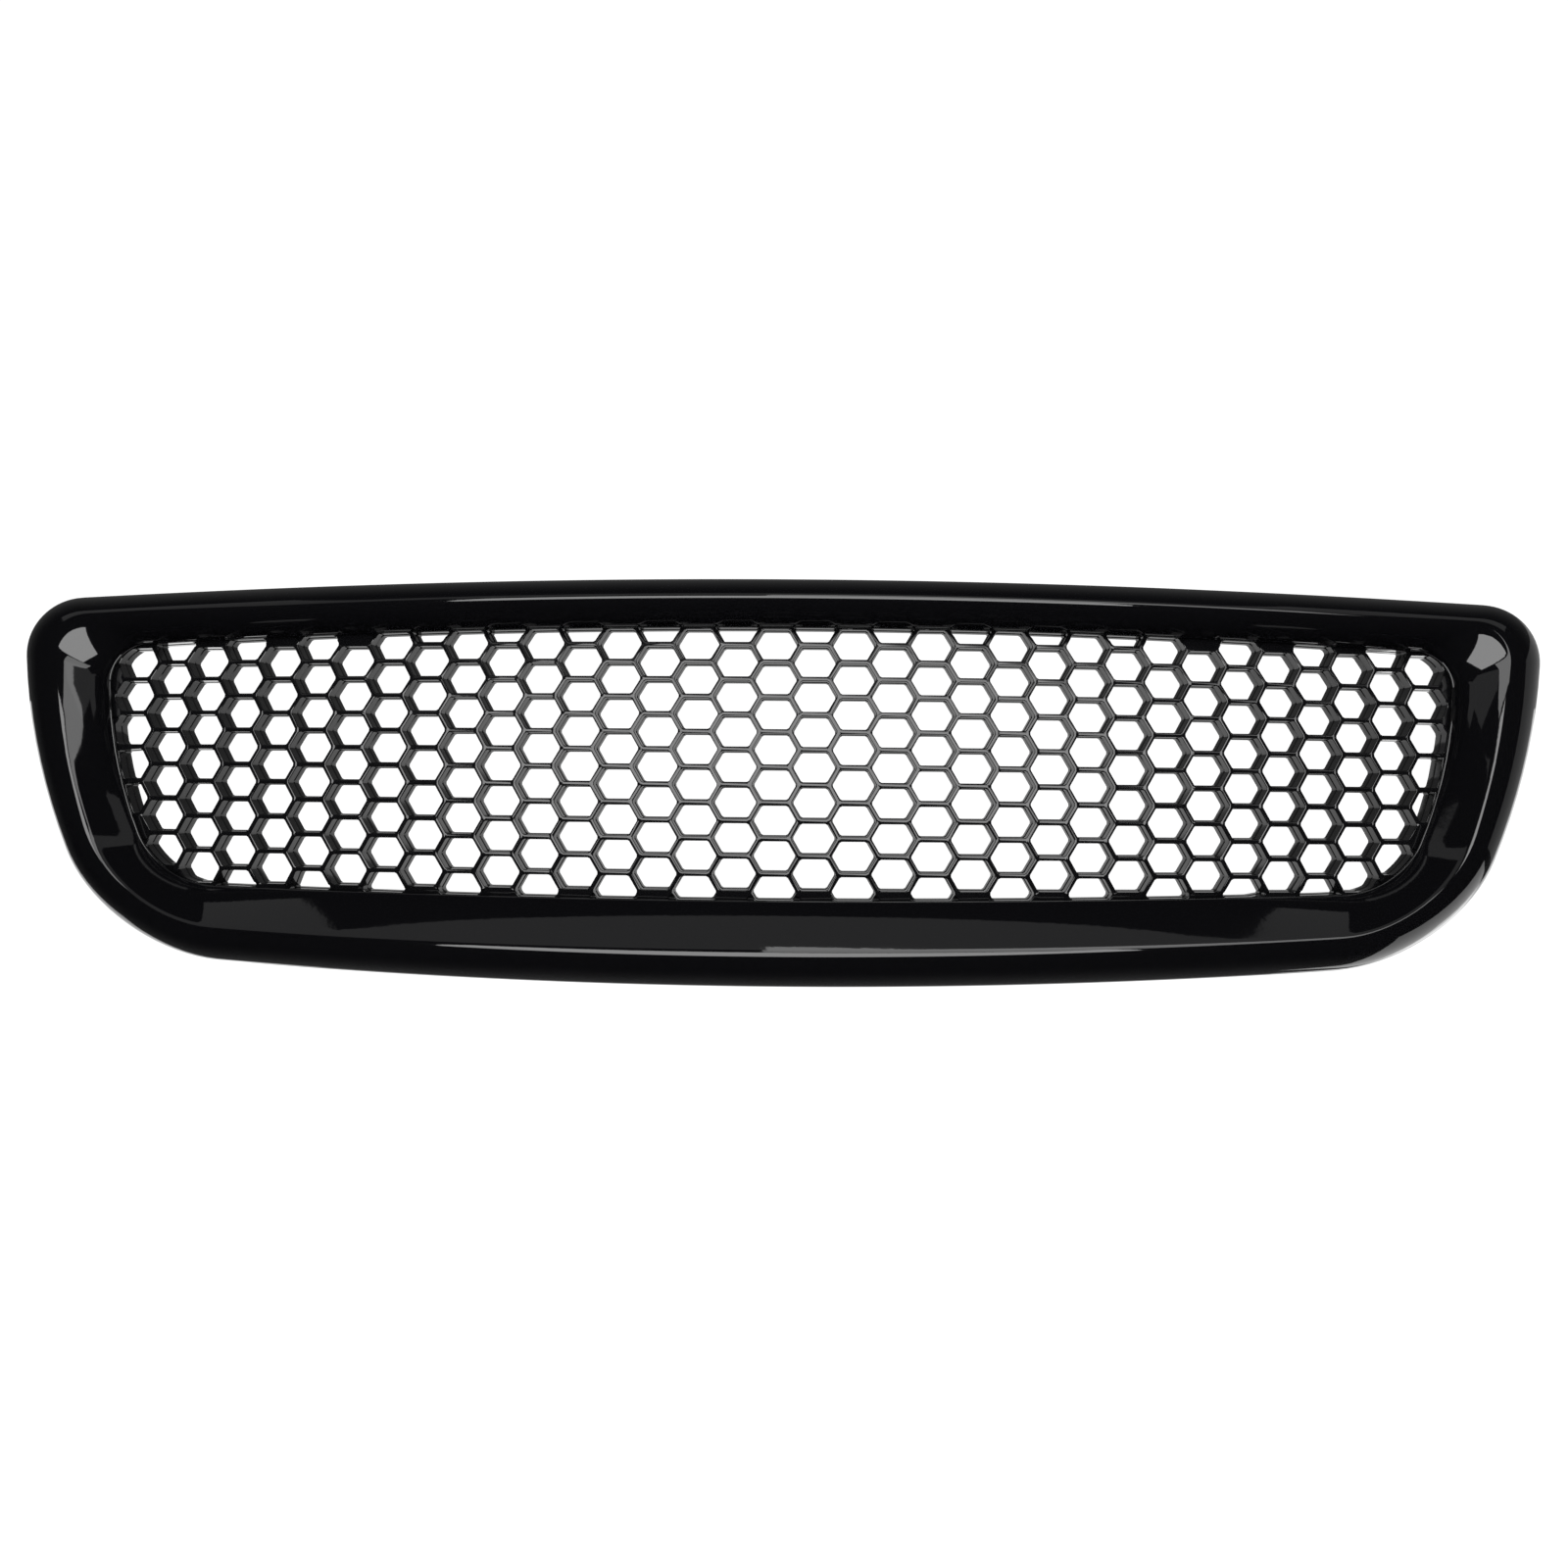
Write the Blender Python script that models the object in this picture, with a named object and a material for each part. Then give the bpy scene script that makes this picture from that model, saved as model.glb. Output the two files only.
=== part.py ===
"""Front grille of a car: a gloss black surround with a honeycomb insert screwed in from behind.

Metres, +Z up, the grille faces -Y, +X is to the right of a person looking at its front.
The whole is shifted at the end so that the middle of its box is the origin.
"""
from math import cos, pi, sin

import bmesh
import bpy
from mathutils import Matrix, Vector
from mathutils.geometry import delaunay_2d_cdt

# ---- overall sizes -------------------------------------------------------------------------
GRILLE_W = 0.924            # across the widest place, just under the upper corners
GRILLE_H = 0.239            # from the middle of the top edge to the middle of the bottom edge
TOP_SHARE = 0.467           # share of the height that lies above the middle of the mesh
SWEEP_BACK = 0.0625         # how far the ends are swept back
SWEEP_EASE = 0.224          # share of that sweep taken off again towards the ends
LEAN_BACK = 0.0238          # how far the top leans back over one height
CROWN_BACK = 0.0842         # crown of the face from top to bottom

# ---- surround: its three outlines, each moved in from the silhouette's straight-sided frame ----
HEAD_OUT = 0.0053           # the upper corners' meeting point beyond half the width
SIDE_TAPER = 0.0698         # how far the sides run in from top to bottom
# head_in, foot_in: insets of the upper and lower ends of the sides; bow: belly of the sides
# drop, rise: crown of the top and bottom edges; head_round, foot_round: length of the corners
SILHOUETTE = dict(head_in=0.0, foot_in=0.0, top_in=0.0, bottom_in=0.0, drop=0.0096, rise=0.0139,
                  bow=0.0105, head_round=0.037, foot_round=0.066)
CREST = dict(head_in=0.0286, foot_in=0.0107, top_in=0.0131, bottom_in=0.0197, drop=0.0108,
             rise=0.0159, bow=0.0042, head_round=0.0234, foot_round=0.0584)
LIP = dict(head_in=0.0583, foot_in=0.0287, top_in=0.0286, bottom_in=0.0497, drop=0.0099,
           rise=0.0055, bow=0.0083, head_round=0.0232, foot_round=0.0326)

# ---- surround: depths, measured from the middle of the mesh, minus is forward ----------------
CREST_Y = -0.036
LIP_Y = -0.0115
ROLL_END_Y = -0.012         # where the roll turns into the side wall
REAR_Y = 0.019              # rear edge of the side wall
SHELL_WALL = 0.0027
CORE_IN = 0.0012            # how deep bosses and ribs run into the shell's wall

# ---- honeycomb insert ----------------------------------------------------------------------
CELL_PITCH_X = 0.0230       # from one column of cells to the next
CELL_PITCH_Z = 0.02068      # from one cell to the next in the same column
CELL_DEPTH = 0.018
WEB = 0.0025                # thickness of the web at its front ridge
WEB_DRAFT = 0.0006          # each wall gets this much thicker towards the rear
RIM_IN = 0.0006             # the rim's inner face shows this much inside the lip
RIM_WALL = 0.003
FLANGE_OUT = 0.016          # flange behind the surround, beyond the lip
FLANGE_T = 0.003
SMALLEST_CELL = 0.0001      # cut cells under this area are left filled
SHORTEST_EDGE = 0.0016
SAME_POINT = 1e-7           # points closer than this count as one when a sheet is filled

# ---- screws that hold the insert -------------------------------------------------------------
SCREW_OUT = 0.0095          # screw line beyond the lip
SCREW_R = 0.0016
SCREW_IN_BOSS = 0.0105
HEAD_R = 0.0042
HEAD_H = 0.0026
HEAD_SIDE_H = 0.0012        # straight side of the head
HEAD_CROWN_R = 0.0030       # where its crown rounds over
HEAD_CROWN_H = 0.00234
RECESS_R = 0.00176          # drive recess, at its mouth and its floor
RECESS_FLOOR_R = 0.0016
RECESS_FLOOR_H = 0.0009
BOSS_R = 0.0043
PAD_R = 0.0050
PAD_FRONT = 0.0025          # pad faces, forward and rearward of the flange's middle
PAD_REAR = 0.0042
BORE_GAP = 0.0004           # radial room round a screw in the boss
PAD_BORE_GAP = 0.0008       # and in the insert's pad
TOP_SCREWS = 5
BOTTOM_SCREWS = 5
TOP_SCREW_SPAN = 0.74       # outermost screws, as a share of the width
BOTTOM_SCREW_SPAN = 0.66
SIDE_SCREW_Z = (0.083, -0.167)   # as shares of the height, from the middle of the mesh

# ---- upper tabs with their spring nuts, lower pegs with their grommets -----------------------
TAB_XS = (0.13, 0.37)       # as shares of the width, left and right of the middle
TAB_W = 0.034
TAB_L = 0.034
TAB_T = 0.0030
TAB_ROOT = 0.012
TAB_RIB_T = 0.0024
TAB_RIB_H = 0.0085
TAB_BARE = 0.3              # share of the tab that has no ribs, for the spring nut
TAB_HOLE_R = 0.0048
TAB_HOLE_BACK = 0.014       # from the tab's rear edge
CLIP_W = 0.0160
CLIP_T = 0.0009
CLIP_BEND = 0.00024         # inner corner cut of the folded strip
CLIP_L = 0.0220
CLIP_HOLE_R = 0.0032
CLIP_BARREL_R = 0.0046
CLIP_BARREL_H = 0.0050
PEG_XS = (-0.27, 0.0, 0.27)
PEG_R = 0.0040
PEG_L = 0.026
PEG_UP = 0.0125             # peg axis above the bottom wall
PEG_WEB_T = 0.0050
PEG_WEB_SINK = 0.4          # share of the shell's wall the web's foot stands in
PEG_IN_WEB = 0.45           # share of the peg's length that lies in the web
PEG_TAPER = 0.0036          # length of the lead-in
PEG_NOSE = 0.6              # radius of its end, as a share of the peg's
GROMMET_R = 0.0095
GROMMET_WAIST_R = 0.0072
GROMMET_L = 0.0090
GROMMET_WAIST_L = 0.0030
GROMMET_EDGE = 0.0009       # corner cuts of the collars
GROMMET_NOSE_R = 0.0076     # the rear collar is tapered to push in

GAP = 0.0003                # between touching pieces
RIB_T = 0.0018
RIB_MARGIN = 0.010          # ribs are drawn this much too long, then cut to the hollow
RIB_CLEAR = 0.0037          # ribs stop this far in front of the insert
SINK = 0.0013               # faces of joined mouldings stand apart by this much
FAR = 0.060

CORNER_STEPS = 8
CORNER_PULL = 0.56          # 0.55 is close to a quarter circle, more is squarer
EDGE_STEPS = 12
SIDE_STEPS = 4
ROLL_STEPS = 4
BEVEL_STEPS = 4
BEVEL_POWER = 1.4           # 1 is a flat bevel, 2 a quarter round
ROUND_SIDES = 12
SCREW_SIDES = 10
GROMMET_SIDES = 16
SMOOTH_ANGLE = 0.6
Y_TO_Z = Matrix.Rotation(pi / 2, 4, 'X')

TOP_Z = GRILLE_H * TOP_SHARE
BOTTOM_Z = TOP_Z - GRILLE_H


# ---- the bowed face and the outlines ---------------------------------------------------------
def face_y(x, z):
    """Depth of the bowed face the mesh lies on."""
    u = x / (GRILLE_W / 2)
    v = z / GRILLE_H
    return SWEEP_BACK * (u**2 - SWEEP_EASE * u**4) + LEAN_BACK * v + CROWN_BACK * v**2


def meeting_point(p, along_p, q, along_q):
    """Where the line through p and the line through q cross."""
    cross = along_p.x * along_q.y - along_p.y * along_q.x
    step = ((q.x - p.x) * along_q.y - (q.y - p.y) * along_q.x) / cross
    return p + along_p * step


def rounded_corner(p, along_p, q, along_q):
    """Smooth corner from p to q, leaving and arriving along the two edges."""
    apex = meeting_point(p, along_p, q, along_q)
    p1 = p.lerp(apex, CORNER_PULL)
    q1 = q.lerp(apex, CORNER_PULL)
    points = []
    for i in range(1, CORNER_STEPS):
        s = i / CORNER_STEPS
        r = 1 - s
        points.append(r**3 * p + 3 * r * r * s * p1 + 3 * r * s * s * q1 + s**3 * q)
    return points


def outline(head_in, foot_in, top_in, bottom_in, drop, rise, bow, head_round, foot_round):
    """Closed loop of (x, z) points, clockwise seen from the front, from the top's middle."""
    half_top = GRILLE_W / 2 + HEAD_OUT - head_in
    half_foot = GRILLE_W / 2 + HEAD_OUT - SIDE_TAPER - foot_in
    top = TOP_Z - top_in
    bottom = BOTTOM_Z + bottom_in
    head = Vector((half_top, top - drop))
    foot = Vector((half_foot, bottom + rise))
    run = foot - head
    length = run.length
    along = run / length
    out = Vector((-along.y, along.x))

    def on_top(x):
        return Vector((x, top - drop * (x / half_top)**2))

    def on_bottom(x):
        return Vector((x, bottom + rise * (x / half_foot)**2))

    def on_side(s):
        q = s / length
        return head + along * s + out * 4 * bow * q * (1 - q)

    def side_way(s):
        return along + out * 4 * bow * (1 - 2 * s / length) / length

    x1 = half_top - head_round
    x2 = half_foot - foot_round
    s2 = length - foot_round
    half = [on_top(x1 * i / EDGE_STEPS) for i in range(EDGE_STEPS + 1)]
    top_way = Vector((1, -2 * drop * x1 / half_top**2))
    half += rounded_corner(half[-1], top_way, on_side(head_round), side_way(head_round))
    half += [on_side(head_round + (s2 - head_round) * i / SIDE_STEPS) for i in range(SIDE_STEPS + 1)]
    bottom_way = Vector((1, 2 * rise * x2 / half_foot**2))
    half += rounded_corner(half[-1], side_way(s2), on_bottom(x2), bottom_way)
    half += [on_bottom(x2 * (1 - i / EDGE_STEPS)) for i in range(EDGE_STEPS + 1)]
    mirrored = [Vector((-p.x, p.y)) for p in reversed(half[1:-1])]
    return half + mirrored


def outer_outline():
    return outline(**SILHOUETTE)


def crest_outline():
    return outline(**CREST)


def lip_outline():
    return outline(**LIP)


def grown(loop, distance):
    """The loop moved outwards by a distance."""
    count = len(loop)
    result = []
    for i, p in enumerate(loop):
        way = (loop[(i + 1) % count] - loop[i - 1]).normalized()
        result.append(p + Vector((-way.y, way.x)) * distance)
    return result


def at_depth(loop, depth):
    """The flat loop laid on the bowed face, moved back by a depth."""
    return [Vector((p.x, face_y(p.x, p.y) + depth, p.y)) for p in loop]


def height_at(loop, x, upper):
    """Z of the loop's top or bottom edge at this x."""
    count = len(loop)
    best = None
    for i in range(count):
        a = loop[i]
        b = loop[(i + 1) % count]
        if min(a.x, b.x) <= x <= max(a.x, b.x) and a.x != b.x:
            z = a.y + (b.y - a.y) * (x - a.x) / (b.x - a.x)
            if best is None or (z > best) == upper:
                best = z
    return best


def reach_at(loop, z):
    """X of the loop's right side at this z."""
    count = len(loop)
    best = 0.0
    for i in range(count):
        a = loop[i]
        b = loop[(i + 1) % count]
        if min(a.y, b.y) <= z <= max(a.y, b.y) and a.y != b.y:
            best = max(best, a.x + (b.x - a.x) * (z - a.y) / (b.y - a.y))
    return best


def screw_points():
    """(x, z) of the insert's screws: along the top, the bottom and both sides."""
    line = grown(lip_outline(), SCREW_OUT)
    points = []
    for i in range(TOP_SCREWS):
        x = GRILLE_W * TOP_SCREW_SPAN * (i / (TOP_SCREWS - 1) - 0.5)
        points.append((x, height_at(line, x, True)))
    for i in range(BOTTOM_SCREWS):
        x = GRILLE_W * BOTTOM_SCREW_SPAN * (i / (BOTTOM_SCREWS - 1) - 0.5)
        points.append((x, height_at(line, x, False)))
    for share in SIDE_SCREW_Z:
        height = share * GRILLE_H
        reach = reach_at(line, height)
        points.append((-reach, height))
        points.append((reach, height))
    return points


# ---- mesh helpers ------------------------------------------------------------------------------
def ring_faces(bm, lower, upper):
    """Quads between two rings of vertices."""
    count = len(lower)
    for i in range(count):
        j = (i + 1) % count
        bm.faces.new((lower[i], lower[j], upper[j], upper[i]))


def new_object(name, bm, material):
    """Turns a bmesh into a named object with its material."""
    bmesh.ops.recalc_face_normals(bm, faces=bm.faces)
    mesh = bpy.data.meshes.new(name)
    bm.to_mesh(mesh)
    bm.free()
    if material is not None:
        mesh.materials.append(material)
    obj = bpy.data.objects.new(name, mesh)
    bpy.context.collection.objects.link(obj)
    return obj


def turned(name, profile, sides, material=None):
    """Solid of revolution about Y from a profile of (radius, y), starting and ending on the axis."""
    bm = bmesh.new()
    rings = []
    turns = [2 * pi * (i + 0.5) / sides for i in range(sides)]
    for radius, y in profile:
        if radius == 0:
            rings.append([bm.verts.new((0, y, 0))])
        else:
            rings.append([bm.verts.new((radius * cos(t), y, radius * sin(t))) for t in turns])
    for a, b in zip(rings, rings[1:]):
        for i in range(sides):
            j = (i + 1) % sides
            if len(a) == 1:
                bm.faces.new((a[0], b[j], b[i]))
            elif len(b) == 1:
                bm.faces.new((a[i], a[j], b[0]))
            else:
                bm.faces.new((a[i], a[j], b[j], b[i]))
    return new_object(name, bm, material)


def turned_ring(name, profile, sides, material=None):
    """Ring about Y from a closed profile of (radius, y)."""
    bm = bmesh.new()
    rings = [[bm.verts.new((r * cos(2 * pi * i / sides), y, r * sin(2 * pi * i / sides)))
              for i in range(sides)] for r, y in profile]
    for a, b in zip(rings, rings[1:] + rings[:1]):
        ring_faces(bm, a, b)
    return new_object(name, bm, material)


def block(name, low, high, material=None):
    """Box between two corners."""
    bm = bmesh.new()
    bmesh.ops.create_cube(bm, size=1.0)
    size = Vector(high) - Vector(low)
    middle = (Vector(high) + Vector(low)) / 2
    bmesh.ops.scale(bm, vec=size, verts=bm.verts)
    bmesh.ops.translate(bm, vec=middle, verts=bm.verts)
    return new_object(name, bm, material)


def apply_modifiers(obj):
    """Bakes the object's modifiers into its mesh."""
    bpy.context.view_layer.update()
    graph = bpy.context.evaluated_depsgraph_get()
    baked = bpy.data.meshes.new_from_object(obj.evaluated_get(graph))
    obj.modifiers.clear()
    old = obj.data
    obj.data = baked
    baked.name = obj.name
    bpy.data.meshes.remove(old)


def combine(obj, other, operation):
    """Boolean of obj with other; other is used up."""
    cut = obj.modifiers.new("combine", 'BOOLEAN')
    cut.operation = operation
    cut.solver = 'EXACT'
    cut.object = other
    apply_modifiers(obj)
    bpy.data.objects.remove(other)


def joined(name, objects):
    """One object holding the loose bodies of several."""
    bm = bmesh.new()
    for obj in objects:
        part = obj.data.copy()
        part.transform(obj.matrix_basis)
        bm.from_mesh(part)
        bpy.data.meshes.remove(part)
        bpy.data.objects.remove(obj)
    return new_object(name, bm, None)


def smooth(obj, angle=SMOOTH_ANGLE):
    """Shades round faces smooth and keeps edges sharper than the angle."""
    obj.data.shade_smooth()
    obj.data.set_sharp_from_angle(angle=angle)


# ---- materials ---------------------------------------------------------------------------------
def principled(name, colour, roughness, metallic=0.0):
    material = bpy.data.materials.new(name)
    material.use_nodes = True
    shader = material.node_tree.nodes["Principled BSDF"]
    shader.inputs["Base Color"].default_value = (*colour, 1.0)
    shader.inputs["Roughness"].default_value = roughness
    shader.inputs["Metallic"].default_value = metallic
    return material


def gloss_black_plastic():
    return principled("gloss_black_plastic", (0.008, 0.008, 0.009), 0.08)


def gloss_black_mesh_plastic():
    return principled("gloss_black_mesh_plastic", (0.010, 0.010, 0.011), 0.12)


def black_zinc_steel():
    return principled("black_zinc_steel", (0.06, 0.06, 0.062), 0.38, 0.9)


def phosphate_spring_steel():
    return principled("phosphate_spring_steel", (0.10, 0.098, 0.094), 0.5, 0.85)


def black_rubber():
    return principled("black_rubber", (0.016, 0.016, 0.016), 0.75)


# ---- surround ----------------------------------------------------------------------------------
def skin_loops():
    """Loops of the surround's outer skin, from its rear edge over the crest to the lip."""
    outer = outer_outline()
    crest = crest_outline()
    lip = lip_outline()
    loops = [at_depth(outer, REAR_Y)]
    for i in range(ROLL_STEPS + 1):
        turn = pi / 2 * i / ROLL_STEPS
        inward = 1 - cos(turn)
        depth = ROLL_END_Y + (CREST_Y - ROLL_END_Y) * sin(turn)
        loops.append(at_depth([a.lerp(b, inward) for a, b in zip(outer, crest)], depth))
    for i in range(1, BEVEL_STEPS + 1):
        turn = pi / 2 * i / BEVEL_STEPS
        inward = sin(turn)**(2 / BEVEL_POWER)
        back = 1 - cos(turn)**(2 / BEVEL_POWER)
        depth = CREST_Y + (LIP_Y - CREST_Y) * back
        loops.append(at_depth([a.lerp(b, inward) for a, b in zip(crest, lip)], depth))
    loops.append(at_depth(lip, lip_end_y()))
    return loops


def lip_end_y():
    return -CELL_DEPTH / 2 - GAP


def skin_mesh(closed_behind):
    """The skin as a strip, or closed far behind into a ring-shaped solid."""
    loops = skin_loops()
    if closed_behind:
        loops.append(at_depth(lip_outline(), FAR))
        loops.append(at_depth(outer_outline(), FAR))
    bm = bmesh.new()
    rings = [[bm.verts.new(p) for p in loop] for loop in loops]
    for a, b in zip(rings, rings[1:]):
        ring_faces(bm, a, b)
    if closed_behind:
        ring_faces(bm, rings[-1], rings[0])
    return bm


def surround_core():
    """Ring-shaped solid just under the skin, which trims the bosses and ribs."""
    core = new_object("core", skin_mesh(True), None)
    shrink = core.modifiers.new("shrink", 'DISPLACE')
    shrink.strength = -CORE_IN
    shrink.mid_level = 0.0
    apply_modifiers(core)
    return core


def boss_bodies():
    """Screw bosses, each with a blind bore open to the rear."""
    rear = flange_mid() - PAD_FRONT - GAP
    bosses = []
    for x, z in screw_points():
        y = face_y(x, z) + rear
        bore = SCREW_R + BORE_GAP
        bore_end = y - SCREW_IN_BOSS - 2 * GAP
        boss = turned("boss", [(0, y - FAR), (BOSS_R, y - FAR), (BOSS_R, y), (bore, y),
                               (bore, bore_end), (0, bore_end)], ROUND_SIDES)
        boss.location = (x, 0, z)
        bosses.append(boss)
    return bosses


def rib_bodies():
    """Moulded ribs across the hollow of the top and bottom bars, between the bosses."""
    lip = lip_outline()
    outer = outer_outline()
    ribs = []
    for upper, count, span in ((True, TOP_SCREWS, TOP_SCREW_SPAN),
                               (False, BOTTOM_SCREWS, BOTTOM_SCREW_SPAN)):
        for i in range(count - 1):
            x = GRILLE_W * span * ((i + 0.5) / (count - 1) - 0.5)
            inner_z = height_at(lip, x, upper)
            outer_z = height_at(outer, x, upper)
            low = min(inner_z, outer_z) - RIB_MARGIN
            high = max(inner_z, outer_z) + RIB_MARGIN
            rear = min(face_y(x, inner_z), face_y(x, outer_z)) - CELL_DEPTH / 2 - RIB_CLEAR
            ribs.append(block("rib", (x - RIB_T / 2, rear - FAR, low), (x + RIB_T / 2, rear, high)))
    return ribs


def tab_places():
    """(x, y, z) of the middle of each upper tab's rear edge, on its upper face."""
    outer = outer_outline()
    places = []
    for share in TAB_XS:
        x = share * GRILLE_W
        far_x = x + TAB_W / 2
        z = height_at(outer, far_x, True) - GAP
        y = face_y(x, z) + REAR_Y + TAB_L
        places += [(-x, y, z), (x, y, z)]
    return sorted(places)


def tab_bodies():
    """Flat tabs behind the top wall, each with two ribs underneath and a hole for its nut."""
    bodies = []
    for x, y, z in tab_places():
        front = y - TAB_L - TAB_ROOT
        plate = block("tab", (x - TAB_W / 2, front, z - TAB_T), (x + TAB_W / 2, y, z))
        for side in (-1, 1):
            edge = x + side * (TAB_W / 2 - TAB_RIB_T)
            rib = block("tab_rib", (edge - TAB_RIB_T / 2, front + SINK, z - TAB_RIB_H),
                        (edge + TAB_RIB_T / 2, y - TAB_L * TAB_BARE, z - TAB_T / 2))
            combine(plate, rib, 'UNION')
        hole = turned("hole", [(0, -TAB_T), (TAB_HOLE_R, -TAB_T), (TAB_HOLE_R, TAB_T), (0, TAB_T)],
                      ROUND_SIDES)
        hole.rotation_euler = (pi / 2, 0, 0)
        hole.location = (x, y - TAB_HOLE_BACK, z - TAB_T / 2)
        combine(plate, hole, 'DIFFERENCE')
        bodies.append(plate)
    return bodies


def peg_places():
    """(x, y, z) of each lower peg's shoulder, on its axis."""
    outer = outer_outline()
    places = []
    for share in PEG_XS:
        x = share * GRILLE_W
        z = height_at(outer, x, False) + PEG_UP
        y = face_y(x, z - PEG_UP) + REAR_Y
        places.append((x, y, z))
    return places


def peg_bodies():
    """Lower locating pegs, each on a web that stands up from the bottom wall."""
    bodies = []
    for x, y, z in peg_places():
        foot = z - PEG_UP + SHELL_WALL * PEG_WEB_SINK
        web = block("peg_web", (x - PEG_WEB_T / 2, y - PEG_L / 2, foot),
                    (x + PEG_WEB_T / 2, y - SINK, z + PEG_R * PEG_NOSE))
        root = -PEG_L * PEG_IN_WEB
        peg = turned("peg", [(0, root), (PEG_R, root), (PEG_R, PEG_L - PEG_TAPER),
                             (PEG_R * PEG_NOSE, PEG_L), (0, PEG_L)], ROUND_SIDES)
        peg.location = (x, y, z)
        combine(web, peg, 'UNION')
        bodies.append(web)
    return bodies


def build_surround():
    """Hollow moulded frame with its bosses, ribs, tabs and pegs in one piece."""
    shell = new_object("surround_shell", skin_mesh(False), gloss_black_plastic())
    wall = shell.modifiers.new("wall", 'SOLIDIFY')
    wall.thickness = SHELL_WALL
    wall.offset = -1.0
    wall.use_even_offset = True
    apply_modifiers(shell)
    inside = joined("inside", boss_bodies() + rib_bodies())
    combine(inside, surround_core(), 'INTERSECT')
    combine(shell, inside, 'UNION')
    combine(shell, joined("outside", tab_bodies() + peg_bodies()), 'UNION')
    smooth(shell)
    return shell


# ---- honeycomb insert --------------------------------------------------------------------------
def clipped(polygon, fence):
    """The part of a convex polygon that lies inside a convex clockwise fence."""
    count = len(fence)
    for i in range(count):
        a = fence[i]
        way = fence[(i + 1) % count] - a
        kept = []
        for j, p in enumerate(polygon):
            q = polygon[(j + 1) % len(polygon)]
            side_p = way.x * (p.y - a.y) - way.y * (p.x - a.x)
            side_q = way.x * (q.y - a.y) - way.y * (q.x - a.x)
            if side_p <= 0:
                kept.append(p)
            if (side_p < 0) != (side_q < 0) and side_p != side_q:
                kept.append(p.lerp(q, side_p / (side_p - side_q)))
        polygon = kept
        if len(polygon) < 3:
            return []
    return polygon


def without_short_edges(polygon):
    kept = []
    for p in polygon:
        if not kept or (p - kept[-1]).length > SHORTEST_EDGE:
            kept.append(p)
    while len(kept) > 2 and (kept[0] - kept[-1]).length <= SHORTEST_EDGE:
        kept.pop()
    return kept


def area(polygon):
    total = 0.0
    for i, p in enumerate(polygon):
        q = polygon[(i + 1) % len(polygon)]
        total += p.x * q.y - q.x * p.y
    return abs(total) / 2


def shrunk(polygon, distance):
    """Convex clockwise polygon with every edge moved in by a distance."""
    count = len(polygon)
    lines = []
    for i in range(count):
        way = (polygon[(i + 1) % count] - polygon[i]).normalized()
        lines.append((polygon[i] + Vector((way.y, -way.x)) * distance, way))
    return [meeting_point(lines[i - 1][0], lines[i - 1][1], lines[i][0], lines[i][1])
            for i in range(count)]


def cell_outlines():
    """Openings of the honeycomb, clockwise, cut where they meet the rim."""
    fence = grown(lip_outline(), -RIM_IN)
    slant = CELL_PITCH_Z / (2 * sin(pi / 3))
    flat = CELL_PITCH_X - slant * cos(pi / 3)
    corners = [Vector((flat / 2 + slant * cos(pi / 3), 0)), Vector((flat / 2, -CELL_PITCH_Z / 2)),
               Vector((-flat / 2, -CELL_PITCH_Z / 2)), Vector((-flat / 2 - slant * cos(pi / 3), 0)),
               Vector((-flat / 2, CELL_PITCH_Z / 2)), Vector((flat / 2, CELL_PITCH_Z / 2))]
    opening = shrunk(corners, WEB / 2)
    columns = int(GRILLE_W / 2 / CELL_PITCH_X) + 1
    rows = int(GRILLE_H / CELL_PITCH_Z) + 1
    cells = []
    for column in range(-columns, columns + 1):
        for row in range(-rows, rows + 1):
            half_step = 0.5 if column % 2 == 0 else 0.0
            middle = Vector((column * CELL_PITCH_X, (row + half_step) * CELL_PITCH_Z))
            cell = without_short_edges(clipped([middle + corner for corner in opening], fence))
            if len(cell) > 2 and area(cell) > SMALLEST_CELL:
                cells.append(cell)
    return cells


def flange_mid():
    return CELL_DEPTH / 2 - FLANGE_T / 2


def circle(x, z, radius):
    """Clockwise circle of (x, z) points."""
    turns = [2 * pi * i / ROUND_SIDES for i in range(ROUND_SIDES)]
    return [Vector((x + radius * sin(turn), z + radius * cos(turn))) for turn in turns]


def web_face(bm, borders, depth):
    """Fills the region inside the first border and outside the others; returns their rings."""
    points = []
    edges = []
    spans = []
    for border in borders:
        start = len(points)
        count = len(border)
        points += border
        edges += [(start + i, start + (i + 1) % count) for i in range(count)]
        spans.append((start, count))
    result = delaunay_2d_cdt(points, edges, [], 2, SAME_POINT)
    verts = [bm.verts.new((p.x, face_y(p.x, p.y) + depth, p.y)) for p in result[0]]
    place = {}
    for new, olds in enumerate(result[3]):
        for old in olds:
            place[old] = verts[new]
    owner = {}
    for number, (start, count) in enumerate(spans):
        for old in range(start, start + count):
            owner[place[old]] = number
    for face in result[2]:
        owners = {owner[verts[i]] for i in face}
        if owners == {0} or len(owners) > 1:
            bm.faces.new([verts[i] for i in face])
    return [[place[start + i] for i in range(count)] for start, count in spans]


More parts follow.
